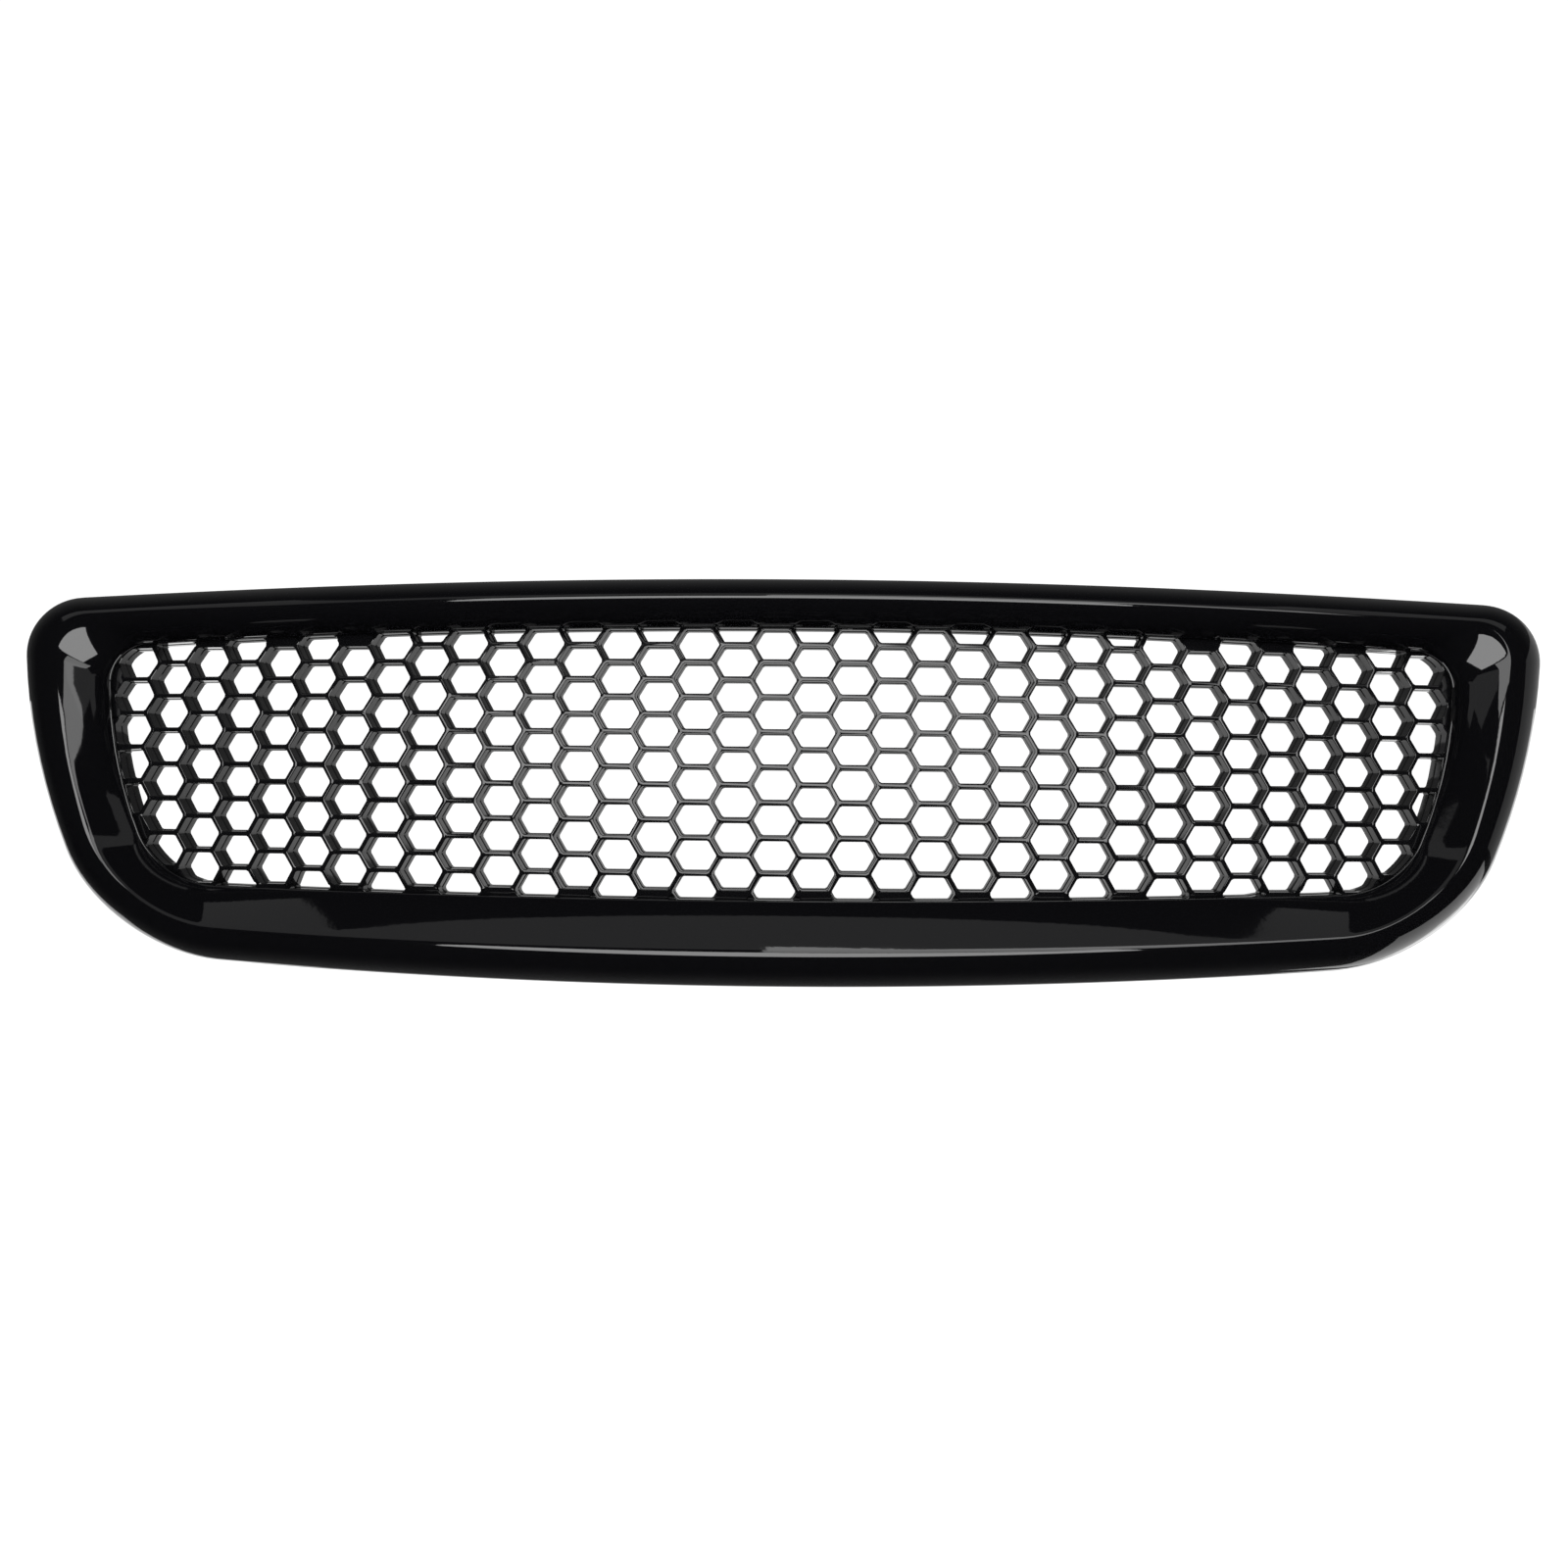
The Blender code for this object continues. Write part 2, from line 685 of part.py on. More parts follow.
def build_insert():
    """Honeycomb with its own rim wall and a screw flange behind the surround."""
    lip = lip_outline()
    front_cells = cell_outlines()
    rear_cells = [shrunk(cell, WEB_DRAFT) for cell in front_cells]
    rim = grown(lip, RIM_WALL - RIM_IN)
    edge = grown(lip, FLANGE_OUT)
    pads = [circle(x, z, PAD_R) for x, z in screw_points()]
    flange_front = CELL_DEPTH / 2 - FLANGE_T
    bm = bmesh.new()
    front = web_face(bm, [rim] + front_cells, -CELL_DEPTH / 2)
    step = web_face(bm, [edge, rim] + pads, flange_front)
    rear = web_face(bm, [edge] + rear_cells + pads, CELL_DEPTH / 2)
    for a, b in zip(front[1:], rear[1:]):
        ring_faces(bm, a, b)
    ring_faces(bm, front[0], step[1])
    ring_faces(bm, step[0], rear[0])
    rear_pads = rear[1 + len(rear_cells):]
    for (x, z), low, high in zip(screw_points(), step[2:], rear_pads):
        y = face_y(x, z) + flange_mid()
        bore = SCREW_R + PAD_BORE_GAP
        rings = [low]
        for radius, depth in ((PAD_R, -PAD_FRONT), (bore, -PAD_FRONT),
                              (bore, PAD_REAR), (PAD_R, PAD_REAR)):
            rings.append([bm.verts.new((p.x, y + depth, p.y)) for p in circle(x, z, radius)])
        rings.append(high)
        for a, b in zip(rings, rings[1:]):
            ring_faces(bm, a, b)
    insert = new_object("honeycomb_insert", bm, gloss_black_mesh_plastic())
    smooth(insert)
    return insert


# ---- fasteners ---------------------------------------------------------------------------------
def build_insert_screws():
    """Pan head screws through the insert's pads into the surround's bosses."""
    steel = black_zinc_steel()
    seat = flange_mid() + PAD_REAR + GAP
    tip = flange_mid() - PAD_FRONT - SCREW_IN_BOSS
    profile = [(0, tip), (SCREW_R / 2, tip), (SCREW_R, tip + 2 * SCREW_R), (SCREW_R, seat),
               (HEAD_R, seat), (HEAD_R, seat + HEAD_SIDE_H), (HEAD_CROWN_R, seat + HEAD_CROWN_H),
               (RECESS_R, seat + HEAD_H), (RECESS_FLOOR_R, seat + RECESS_FLOOR_H),
               (0, seat + RECESS_FLOOR_H)]
    first = turned("insert_screw_01", profile, SCREW_SIDES, steel)
    smooth(first)
    for i, (x, z) in enumerate(screw_points()):
        screw = first
        if i:
            screw = bpy.data.objects.new(f"insert_screw_{i + 1:02d}", first.data)
            bpy.context.collection.objects.link(screw)
        screw.location = (x, face_y(x, z), z)


def build_spring_nuts():
    """Folded spring steel nuts pushed over the rear edge of the upper tabs."""
    half = TAB_T / 2 + GAP
    back = GAP + CLIP_T
    bend = CLIP_BEND
    outside = [(-CLIP_L, half + CLIP_T), (back - CLIP_T, half + CLIP_T), (back, half),
               (back, -half), (back - CLIP_T, -half - CLIP_T), (-CLIP_L, -half - CLIP_T)]
    inside = [(-CLIP_L, half), (GAP - bend, half), (GAP, half - bend),
              (GAP, bend - half), (GAP - bend, -half), (-CLIP_L, -half)]
    bm = bmesh.new()
    rings = [[bm.verts.new((x, y, z)) for y, z in line]
             for x, line in ((-CLIP_W / 2, inside), (-CLIP_W / 2, outside),
                             (CLIP_W / 2, outside), (CLIP_W / 2, inside))]
    for a, b in zip(rings, rings[1:] + rings[:1]):
        for i in range(len(outside) - 1):
            bm.faces.new((a[i], a[i + 1], b[i + 1], b[i]))
    for i in (0, -1):
        bm.faces.new([ring[i] for ring in rings])
    first = new_object("spring_nut_1", bm, phosphate_spring_steel())
    centre = -TAB_HOLE_BACK
    foot = -half - CLIP_T / 2
    barrel = turned("barrel", [(0, foot), (CLIP_BARREL_R, foot),
                               (CLIP_BARREL_R, foot - CLIP_BARREL_H), (0, foot - CLIP_BARREL_H)],
                    ROUND_SIDES)
    bore = turned("bore", [(0, FAR), (CLIP_HOLE_R, FAR), (CLIP_HOLE_R, -FAR), (0, -FAR)], ROUND_SIDES)
    for tool, operation in ((barrel, 'UNION'), (bore, 'DIFFERENCE')):
        tool.data.transform(Y_TO_Z)
        tool.location = (0, centre, 0)
        combine(first, tool, operation)
    smooth(first)
    for i, (x, y, z) in enumerate(tab_places()):
        nut = first
        if i:
            nut = bpy.data.objects.new(f"spring_nut_{i + 1}", first.data)
            bpy.context.collection.objects.link(nut)
        nut.location = (x, y, z - TAB_T / 2)


def build_grommets():
    """Waisted rubber grommets on the lower pegs."""
    hole = PEG_R + GAP
    half_waist = GROMMET_WAIST_L / 2
    half = GROMMET_L / 2
    profile = [(hole, -half), (GROMMET_R - GROMMET_EDGE, -half), (GROMMET_R, -half + GROMMET_EDGE),
               (GROMMET_R, -half_waist), (GROMMET_WAIST_R, -half_waist),
               (GROMMET_WAIST_R, half_waist), (GROMMET_R, half_waist),
               (GROMMET_R, half - GROMMET_EDGE), (GROMMET_NOSE_R, half), (hole, half)]
    first = turned_ring("peg_grommet_1", profile, GROMMET_SIDES, black_rubber())
    smooth(first)
    for i, (x, y, z) in enumerate(peg_places()):
        grommet = first
        if i:
            grommet = bpy.data.objects.new(f"peg_grommet_{i + 1}", first.data)
            bpy.context.collection.objects.link(grommet)
        grommet.location = (x, y + GAP + half, z)


def centre_on_box():
    """Moves everything so that the middle of the grille's box is the origin."""
    bpy.context.view_layer.update()
    corners = [obj.matrix_world @ v.co for obj in bpy.data.objects for v in obj.data.vertices]
    low = Vector([min(c[i] for c in corners) for i in range(3)])
    high = Vector([max(c[i] for c in corners) for i in range(3)])
    for obj in bpy.data.objects:
        obj.location -= (low + high) / 2


def build():
    for obj in list(bpy.data.objects):
        bpy.data.objects.remove(obj)
    build_surround()
    build_insert()
    build_insert_screws()
    build_spring_nuts()
    build_grommets()
    centre_on_box()


build()
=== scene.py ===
from math import cos, hypot, pi, sin

import bmesh
import bpy
from mathutils import Matrix, Vector
from mathutils.geometry import delaunay_2d_cdt


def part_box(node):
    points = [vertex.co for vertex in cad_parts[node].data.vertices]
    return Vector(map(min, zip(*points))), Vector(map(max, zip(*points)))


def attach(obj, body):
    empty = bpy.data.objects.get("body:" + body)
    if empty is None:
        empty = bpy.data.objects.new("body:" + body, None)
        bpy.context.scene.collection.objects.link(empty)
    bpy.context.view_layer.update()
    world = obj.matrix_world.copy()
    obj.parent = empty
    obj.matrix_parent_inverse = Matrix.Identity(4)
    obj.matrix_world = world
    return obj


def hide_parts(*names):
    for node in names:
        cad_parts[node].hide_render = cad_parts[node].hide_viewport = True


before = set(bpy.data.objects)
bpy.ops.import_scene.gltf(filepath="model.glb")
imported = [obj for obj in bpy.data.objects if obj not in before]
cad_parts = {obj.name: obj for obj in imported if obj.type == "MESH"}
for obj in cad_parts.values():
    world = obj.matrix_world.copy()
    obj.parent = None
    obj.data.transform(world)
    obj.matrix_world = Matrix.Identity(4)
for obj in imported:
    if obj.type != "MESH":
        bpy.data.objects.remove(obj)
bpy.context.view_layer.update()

# ==== surround ================================================================================
# The surround is one injection moulding in gloss black ABS, polished on the show side and left
# satin inside. It is a hollow frame, open to the rear: an outer roll climbs to a crest, and a
# wide bevel falls from the crest to a beaded lip round the mesh.
GRILLE_W = 0.924
GRILLE_H = 0.239
TOP_Z = 0.1116
SWEEP_BACK = 0.0625
SWEEP_EASE = 0.224
LEAN_BACK = 0.0238
CROWN_BACK = 0.0842
HALF_HEAD = 0.4673
HALF_FOOT = 0.3975
# head, foot, top, bottom: how far each end and edge lies inside the silhouette
SILHOUETTE = dict(head=0.0, foot=0.0, top=0.0, bottom=0.0, drop=0.0096, rise=0.0139,
                  bow=0.0105, head_round=0.037, foot_round=0.066)
CREST = dict(head=0.0286, foot=0.0107, top=0.0131, bottom=0.0197, drop=0.0108, rise=0.0159,
             bow=0.0042, head_round=0.0234, foot_round=0.0584)
LIP = dict(head=0.0583, foot=0.0287, top=0.0286, bottom=0.0497, drop=0.0099, rise=0.0055,
           bow=0.0083, head_round=0.0232, foot_round=0.0326)
REAR_Y = 0.019
ROLL_END_Y = -0.012
CREST_Y = -0.036
LIP_Y = -0.0115
LIP_END_Y = -0.0093
BEAD = 0.0006
BEVEL_POWER = 1.4
FLAT_SHARE = 0.93           # below, how much of the fall runs straight from the crest
FLAT_TURN = 4               # and how late the rest turns down to the lip
CREST_ROUND = 0.03          # and how soon it leaves the crest, as a share of the width
FLAT_ABOVE = 0.030          # the sides change to that shape from this height down
FLAT_BLEND = 0.045
SHELL_WALL = 0.0027
CORNER_PULL = 0.56
EDGE_STEPS = 30
CORNER_STEPS = 18
SIDE_STEPS = 9
ROLL_STEPS = 9
BEVEL_STEPS = 12
BEAD_STEPS = 5

EDGE_ROUND = 0.0004
EDGE_ANGLE = 1.0
SMOOTH_ANGLE = 0.6

HEX_GLOSS_BLACK = "050506"
HEX_SATIN_BLACK = "0B0B0C"


def face_y(x, z):
    """Depth of the bowed face that the mesh lies on."""
    u = x / (GRILLE_W / 2)
    v = z / GRILLE_H
    return SWEEP_BACK * (u**2 - SWEEP_EASE * u**4) + LEAN_BACK * v + CROWN_BACK * v**2


def crossing(p, along_p, q, along_q):
    """Where the line through p meets the line through q."""
    cross = along_p.x * along_q.y - along_p.y * along_q.x
    return p + along_p * (((q.x - p.x) * along_q.y - (q.y - p.y) * along_q.x) / cross)


def corner(p, along_p, q, along_q):
    """Soft corner between two edges."""
    apex = crossing(p, along_p, q, along_q)
    a = p.lerp(apex, CORNER_PULL)
    b = q.lerp(apex, CORNER_PULL)
    steps = [i / CORNER_STEPS for i in range(1, CORNER_STEPS)]
    return [(1 - s)**3 * p + 3 * (1 - s)**2 * s * a + 3 * (1 - s) * s * s * b + s**3 * q for s in steps]


def outline(head, foot, top, bottom, drop, rise, bow, head_round, foot_round):
    """Closed loop of flat (x, z) points, clockwise seen from the front, from the top's middle."""
    half_top = HALF_HEAD - head
    half_foot = HALF_FOOT - foot
    high = TOP_Z - top
    low = TOP_Z - GRILLE_H + bottom
    shoulder = Vector((half_top, high - drop))
    ankle = Vector((half_foot, low + rise))
    length = (ankle - shoulder).length
    along = (ankle - shoulder) / length
    out = Vector((-along.y, along.x))

    def side(s):
        q = s / length
        return shoulder + along * s + out * 4 * bow * q * (1 - q)

    def side_way(s):
        return along + out * 4 * bow * (1 - 2 * s / length) / length

    x1 = half_top - head_round
    x2 = half_foot - foot_round
    s1 = head_round
    s2 = length - foot_round
    half = []
    for i in range(EDGE_STEPS + 1):
        x = x1 * i / EDGE_STEPS
        half.append(Vector((x, high - drop * (x / half_top)**2)))
    half += corner(half[-1], Vector((1, -2 * drop * x1 / half_top**2)), side(s1), side_way(s1))
    half += [side(s1 + (s2 - s1) * i / SIDE_STEPS) for i in range(SIDE_STEPS + 1)]
    foot_edge = []
    for i in range(EDGE_STEPS + 1):
        x = x2 * (1 - i / EDGE_STEPS)
        foot_edge.append(Vector((x, low + rise * (x / half_foot)**2)))
    half += corner(half[-1], side_way(s2), foot_edge[0], Vector((1, 2 * rise * x2 / half_foot**2)))
    half += foot_edge
    return half + [Vector((-p.x, p.y)) for p in reversed(half[1:-1])]


def grown(loop, distance):
    """The loop with every edge moved outwards by a distance."""
    count = len(loop)
    result = []
    for i, p in enumerate(loop):
        before = (p - loop[i - 1]).normalized()
        after = (loop[(i + 1) % count] - p).normalized()
        across = (before + after).normalized()
        out = Vector((-across.y, across.x))
        result.append(p + out * distance / (out.x * -before.y + out.y * before.x))
    return result


silhouette = outline(**SILHOUETTE)
crest = outline(**CREST)
lip = outline(**LIP)
shell_low, shell_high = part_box("surround_shell")
shift = Vector(((shell_low.x + shell_high.x) / 2,
                shell_low.y - min(face_y(p.x, p.y) + CREST_Y for p in crest),
                shell_high.z - TOP_Z))


def laid(loop, depth):
    """Flat points laid on the bowed face, moved back by a depth."""
    return [Vector((p.x, face_y(p.x, p.y) + depth, p.y)) + shift for p in loop]


def first_ring(name, places):
    """A circle whose vertices are put in their places on the first outline."""
    bpy.ops.object.select_all(action='DESELECT')
    bpy.ops.mesh.primitive_circle_add(vertices=len(places))
    piece = bpy.context.active_object
    piece.name = name
    piece.data.name = name
    for vertex, place in zip(piece.data.vertices, places):
        vertex.co = place
    bpy.ops.object.mode_set(mode='EDIT')
    bpy.ops.mesh.select_all(action='SELECT')
    return piece


def spot(place):
    """A place rounded, so that two equal places compare as equal."""
    return tuple(round(value, 7) for value in place)


def next_ring(piece, old_places, places):
    """Extrudes the selected ring and moves each of its vertices to the next outline."""
    where = {spot(Vector(old)): new for old, new in zip(old_places, places)}
    bpy.ops.mesh.extrude_edges_move()
    mesh = bmesh.from_edit_mesh(piece.data)
    for vertex in mesh.verts:
        if vertex.select:
            vertex.co = where[spot(vertex.co)]
    bmesh.update_edit_mesh(piece.data)


def ringed(name, rings, fill_ends=False):
    """A skin drawn through rings of equal count, by extruding the first one along."""
    rings = [[Vector(spot(place)) for place in ring] for ring in rings]
    piece = first_ring(name, rings[0])
    if fill_ends:
        bpy.ops.mesh.edge_face_add()
        bpy.ops.mesh.select_all(action='DESELECT')
        bpy.ops.mesh.select_mode(type='EDGE')
        bpy.ops.mesh.select_all(action='SELECT')
    for old, new in zip(rings, rings[1:]):
        next_ring(piece, old, new)
    if fill_ends:
        bpy.ops.mesh.edge_face_add()
    bpy.ops.mesh.select_all(action='SELECT')
    bpy.ops.mesh.normals_make_consistent(inside=False)
    bpy.ops.object.mode_set(mode='OBJECT')
    return piece


def only(piece):
    """Selects one piece and makes it active."""
    bpy.ops.object.select_all(action='DESELECT')
    piece.select_set(True)
    bpy.context.view_layer.objects.active = piece


def modified(piece, kind, **settings):
    """Adds a modifier, sets it and applies it."""
    only(piece)
    modifier = piece.modifiers.new(kind.lower(), kind)
    for name, value in settings.items():
        setattr(modifier, name, value)
    bpy.ops.object.modifier_apply(modifier=modifier.name)


def smooth(piece, angle):
    """Rounds the shading, apart from edges sharper than the angle."""
    only(piece)
    bpy.ops.object.shade_smooth_by_angle(angle=angle)


def linear(hexa):
    """sRGB hex to a linear colour with alpha."""
    channels = [int(hexa[i:i + 2], 16) / 255 for i in (0, 2, 4)]
    return [c / 12.92 if c <= 0.04045 else ((c + 0.055) / 1.055)**2.4 for c in channels] + [1.0]


def node(tree, kind, inputs, **settings):
    """Adds a node with its settings, and gives each input a value or another node's output."""
    made = tree.nodes.new(kind)
    for name, value in settings.items():
        setattr(made, name, value)
    for name, value in inputs.items():
        if isinstance(value, bpy.types.NodeSocket):
            tree.links.new(value, made.inputs[name])
        else:
            made.inputs[name].default_value = value
    return made


def new_material(name, colour, ior=None, metallic=0.0, roughness=None):
    """A named material with its shader, its tree and the object coordinates its patterns use."""
    material = bpy.data.materials.new(name)
    material.use_nodes = True
    tree = material.node_tree
    shader = tree.nodes["Principled BSDF"]
    shader.inputs["Base Color"].default_value = linear(colour)
    shader.inputs["Metallic"].default_value = metallic
    if ior:
        shader.inputs["IOR"].default_value = ior
    if roughness:
        shader.inputs["Roughness"].default_value = roughness
    places = node(tree, "ShaderNodeTexCoord", {}).outputs["Object"]
    return material, tree, shader, places


# Polished ABS: a black body under a mirror skin. Orange peel 4 mm across bends reflections a
# little, and handling haze 40 mm across changes how sharp they are.
def polished_abs(name, colour, sharp, hazy):
    material, tree, shader, places = new_material(name, colour, ior=1.52)
    haze = node(tree, "ShaderNodeTexNoise", {"Vector": places, "Scale": 25.0, "Detail": 4.0})
    spread = node(tree, "ShaderNodeMapRange", {"Value": haze.outputs["Fac"], "From Min": 0.35,
                                               "From Max": 0.7, "To Min": sharp, "To Max": hazy})
    tree.links.new(spread.outputs["Result"], shader.inputs["Roughness"])
    peel = node(tree, "ShaderNodeTexNoise", {"Vector": places, "Scale": 250.0, "Detail": 1.0})
    bump = node(tree, "ShaderNodeBump", {"Height": peel.outputs["Fac"], "Strength": 0.05,
                                         "Distance": 0.0002})
    tree.links.new(bump.outputs["Normal"], shader.inputs["Normal"])
    return material


# Satin ABS as it leaves a spark-eroded mould face: grain under 1 mm scatters the light into a
# soft grey sheen, with flow marks a few centimetres long.
def satin_abs(name, colour):
    material, tree, shader, places = new_material(name, colour, ior=1.52)
    flow = node(tree, "ShaderNodeTexNoise", {"Vector": places, "Scale": 30.0, "Detail": 3.0})
    spread = node(tree, "ShaderNodeMapRange", {"Value": flow.outputs["Fac"], "From Min": 0.3,
                                               "From Max": 0.7, "To Min": 0.3, "To Max": 0.42})
    tree.links.new(spread.outputs["Result"], shader.inputs["Roughness"])
    grain = node(tree, "ShaderNodeTexNoise", {"Vector": places, "Scale": 1600.0, "Detail": 2.0})
    bump = node(tree, "ShaderNodeBump", {"Height": grain.outputs["Fac"], "Strength": 0.15,
                                         "Distance": 0.0001})
    tree.links.new(bump.outputs["Normal"], shader.inputs["Normal"])
    return material


gloss_black_abs = polished_abs("gloss_black_polished_abs", HEX_GLOSS_BLACK, 0.03, 0.06)
satin_black_abs = satin_abs("satin_black_moulded_abs", HEX_SATIN_BLACK)

facing_down = [max(0.0, min(1.0, (FLAT_ABOVE - p.y) / FLAT_BLEND)) for p in lip]


def bevel_depths(turn):
    """How far in a ring of the bevel lies, and its depth at each place: flatter along the bottom."""
    inward = sin(turn)**(2 / BEVEL_POWER)
    round_back = 1 - max(cos(turn), 0.0)**(2 / BEVEL_POWER)
    straight = (hypot(inward, CREST_ROUND) - CREST_ROUND) / (hypot(1.0, CREST_ROUND) - CREST_ROUND)
    flat_back = FLAT_SHARE * straight + (1 - FLAT_SHARE) * inward**FLAT_TURN
    backs = [round_back + (flat_back - round_back) * down for down in facing_down]
    return inward, [CREST_Y + (LIP_Y - CREST_Y) * back for back in backs]


stations = [laid(silhouette, REAR_Y)]
for i in range(ROLL_STEPS + 1):
    turn = pi / 2 * i / ROLL_STEPS
    loop = [a.lerp(b, 1 - cos(turn)) for a, b in zip(silhouette, crest)]
    stations.append(laid(loop, ROLL_END_Y + (CREST_Y - ROLL_END_Y) * sin(turn)))
for i in range(1, BEVEL_STEPS + 1):
    inward, depths = bevel_depths(pi / 2 * i / BEVEL_STEPS)
    loop = [a.lerp(b, inward) for a, b in zip(crest, lip)]
    stations.append([laid([p], depth)[0] for p, depth in zip(loop, depths)])
for i in range(1, BEAD_STEPS + 1):
    turn = pi * i / BEAD_STEPS
    depth = LIP_Y + (LIP_END_Y - LIP_Y) * (1 - cos(turn)) / 2
    stations.append(laid(grown(lip, -BEAD * sin(turn)), depth))

surround = ringed("surround", stations)
surround.data.materials.append(gloss_black_abs)
surround.data.materials.append(satin_black_abs)
modified(surround, 'SOLIDIFY', thickness=SHELL_WALL, offset=-1.0, use_even_offset=True,
         material_offset=1, material_offset_rim=1)
modified(surround, 'BEVEL', width=EDGE_ROUND, segments=2, limit_method='ANGLE', angle_limit=EDGE_ANGLE)
smooth(surround, SMOOTH_ANGLE)

# ---- bosses, ribs, tabs and pegs --------------------------------------------------------------
# Moulded in one with the surround, inside the hollow and behind it: a blind boss for each screw,
# thin ribs across the bars between them, two pairs of tabs behind the top and three pegs below.
BOSS_R = 0.0043
BOSS_BORE_R = 0.0020
BOSS_BORE_L = 0.0111
BOSS_DRAFT = 0.0004
BOSS_BEHIND_HEAD = 0.0099
BOSS_FOOT = 0.004            # how far the boss runs on past its bore, before it meets the wall
BOSS_CHAMFER = 0.0004
BOSS_SIDES = 24
INTO_WALL = 0.0012
RIB_T = 0.0018
RIB_END = 0.0175
RIB_SAMPLES = 48
RIB_INTO_SIDE = 0.0008
BEHIND_ALL = 0.1
TAB = Vector((0.034, 0.046, 0.0030))
TAB_CORNER = 0.005
TAB_HOLE_R = 0.0048
TAB_HOLE_BACK = 0.014
TAB_RIB = Vector((0.0024, 0.0338, 0.0085))
TAB_RIB_BACK = 0.0013        # from the tab's front end
TAB_RIB_SLOPE = 0.009        # how much shorter the rib is along its lower edge
TAB_EDGE = 0.0003
NUT_OVER_TAB = 0.0012
PEG_R = 0.0040
PEG_L = 0.026
PEG_FRONT = 0.0117
PEG_UP = 0.0125
PEG_WEB_T = 0.0050
PEG_WEB_BACK = 0.0013        # how far the web stays in front of the peg's shoulder
PEG_WEB_SINK = 0.0011        # how far its foot stands in the bottom wall
ROUND_SIDES = 32
FITTING_GAP = 0.0003


def turned(name, profile, sides, centre, axis='Y', closed=False):
    """A piece of revolution about Y or Z, from a profile of (radius, distance along the axis)."""
    rings = []
    for radius, along in profile:
        ring = []
        for i in range(sides):
            a = cos(2 * pi * (i + 0.5) / sides) * radius
            b = sin(2 * pi * (i + 0.5) / sides) * radius
            ring.append(centre + (Vector((a, along, b)) if axis == 'Y' else Vector((a, b, along))))
        rings.append(ring)
    if closed:
        rings.append([place + Vector((0, 0, 0)) for place in rings[0]])
    piece = ringed(name, rings, fill_ends=not closed)
    if closed:
        modified(piece, 'WELD', merge_threshold=1e-6)
        only(piece)
        bpy.ops.object.mode_set(mode='EDIT')
        bpy.ops.mesh.select_all(action='SELECT')
        bpy.ops.mesh.normals_make_consistent(inside=False)
        bpy.ops.object.mode_set(mode='OBJECT')
    return piece


def block(name, low, high, edge=0.0003):
    """A moulded block between two corners, its edges softened."""
    bpy.ops.object.select_all(action='DESELECT')
    bpy.ops.mesh.primitive_cube_add(size=1.0)
    piece = bpy.context.active_object
    piece.name = name
    for vertex in piece.data.vertices:
        vertex.co = Vector([high[i] if vertex.co[i] > 0 else low[i] for i in range(3)])
    if edge:
        modified(piece, 'BEVEL', width=edge, segments=2, limit_method='NONE')
    return piece


def wall_behind(x, z, rear):
    """Depth of the surround's inner wall seen from behind, but no further back than rear."""
    start = Vector((x, shell_high.y + BEHIND_ALL, z))
    hit, place, _, _ = surround.ray_cast(start, Vector((0, -1, 0)))
    return min(place.y, rear) if hit else rear


def height_at(loop, x, upper):
    """Where the upper or the lower run of a closed outline passes over x."""
    for a, b in zip(loop, loop[1:] + loop[:1]):
        ax = a.x + shift.x
        bx = b.x + shift.x
        if (a.y > 0) == upper and (ax - x) * (bx - x) <= 0 and ax != bx:
            return a.y + (b.y - a.y) * (x - ax) / (bx - ax) + shift.z
    raise ValueError("the outline has no run at this place")


screw_nodes = sorted(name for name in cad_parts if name.startswith("insert_screw"))
nut_nodes = sorted(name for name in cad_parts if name.startswith("spring_nut"))
grommet_nodes = sorted(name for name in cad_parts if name.startswith("peg_grommet"))
moulded_on = []

for name in screw_nodes:
    low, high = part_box(name)
    middle = (low + high) / 2
    rear = high.y - BOSS_BEHIND_HEAD
    profile = [(BOSS_R + BOSS_DRAFT, rear - BOSS_BORE_L - BOSS_FOOT), (BOSS_R, rear - 0.0005),
               (BOSS_R - BOSS_CHAMFER, rear), (BOSS_BORE_R, rear), (BOSS_BORE_R, rear - BOSS_BORE_L)]
    boss = turned("boss", profile, BOSS_SIDES, Vector((middle.x, 0, middle.z)))
    for vertex in boss.data.vertices:
        if vertex.co.y < rear - BOSS_BORE_L - BOSS_FOOT / 2:
            vertex.co.y = wall_behind(vertex.co.x, vertex.co.z, rear - BOSS_BORE_L) - INTO_WALL
    moulded_on.append(boss)

for row in (screw_nodes[:5], screw_nodes[5:10]):
    middles = [sum(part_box(name), Vector()) / 2 for name in row]
    for a, b in zip(middles, middles[1:]):
        x = (a.x + b.x) / 2
        z_screw = (a.z + b.z) / 2
        upper = z_screw > 0
        rim_z = height_at(silhouette, x, upper)
        lip_z = height_at(lip, x, upper)
        rear = min(a.y, b.y) - RIB_END
        front = []
        for i in range(RIB_SAMPLES + 1):
            z = rim_z + (lip_z - rim_z) * i / RIB_SAMPLES
            wall = wall_behind(x, z, rear)
            if wall < rear:
                front.append(Vector((x, wall - INTO_WALL, z)))
        outward = RIB_INTO_SIDE if upper else -RIB_INTO_SIDE
        front = [front[0] + Vector((0, 0, outward))] + front + [front[-1] - Vector((0, 0, outward))]
        edge = [Vector((x, rear, p.z)) for p in reversed(front)]
        around = front + edge
        rib = ringed("rib", [[p + Vector((side * RIB_T / 2, 0, 0)) for p in around] for side in (-1, 1)],
                     fill_ends=True)
        moulded_on.append(rib)

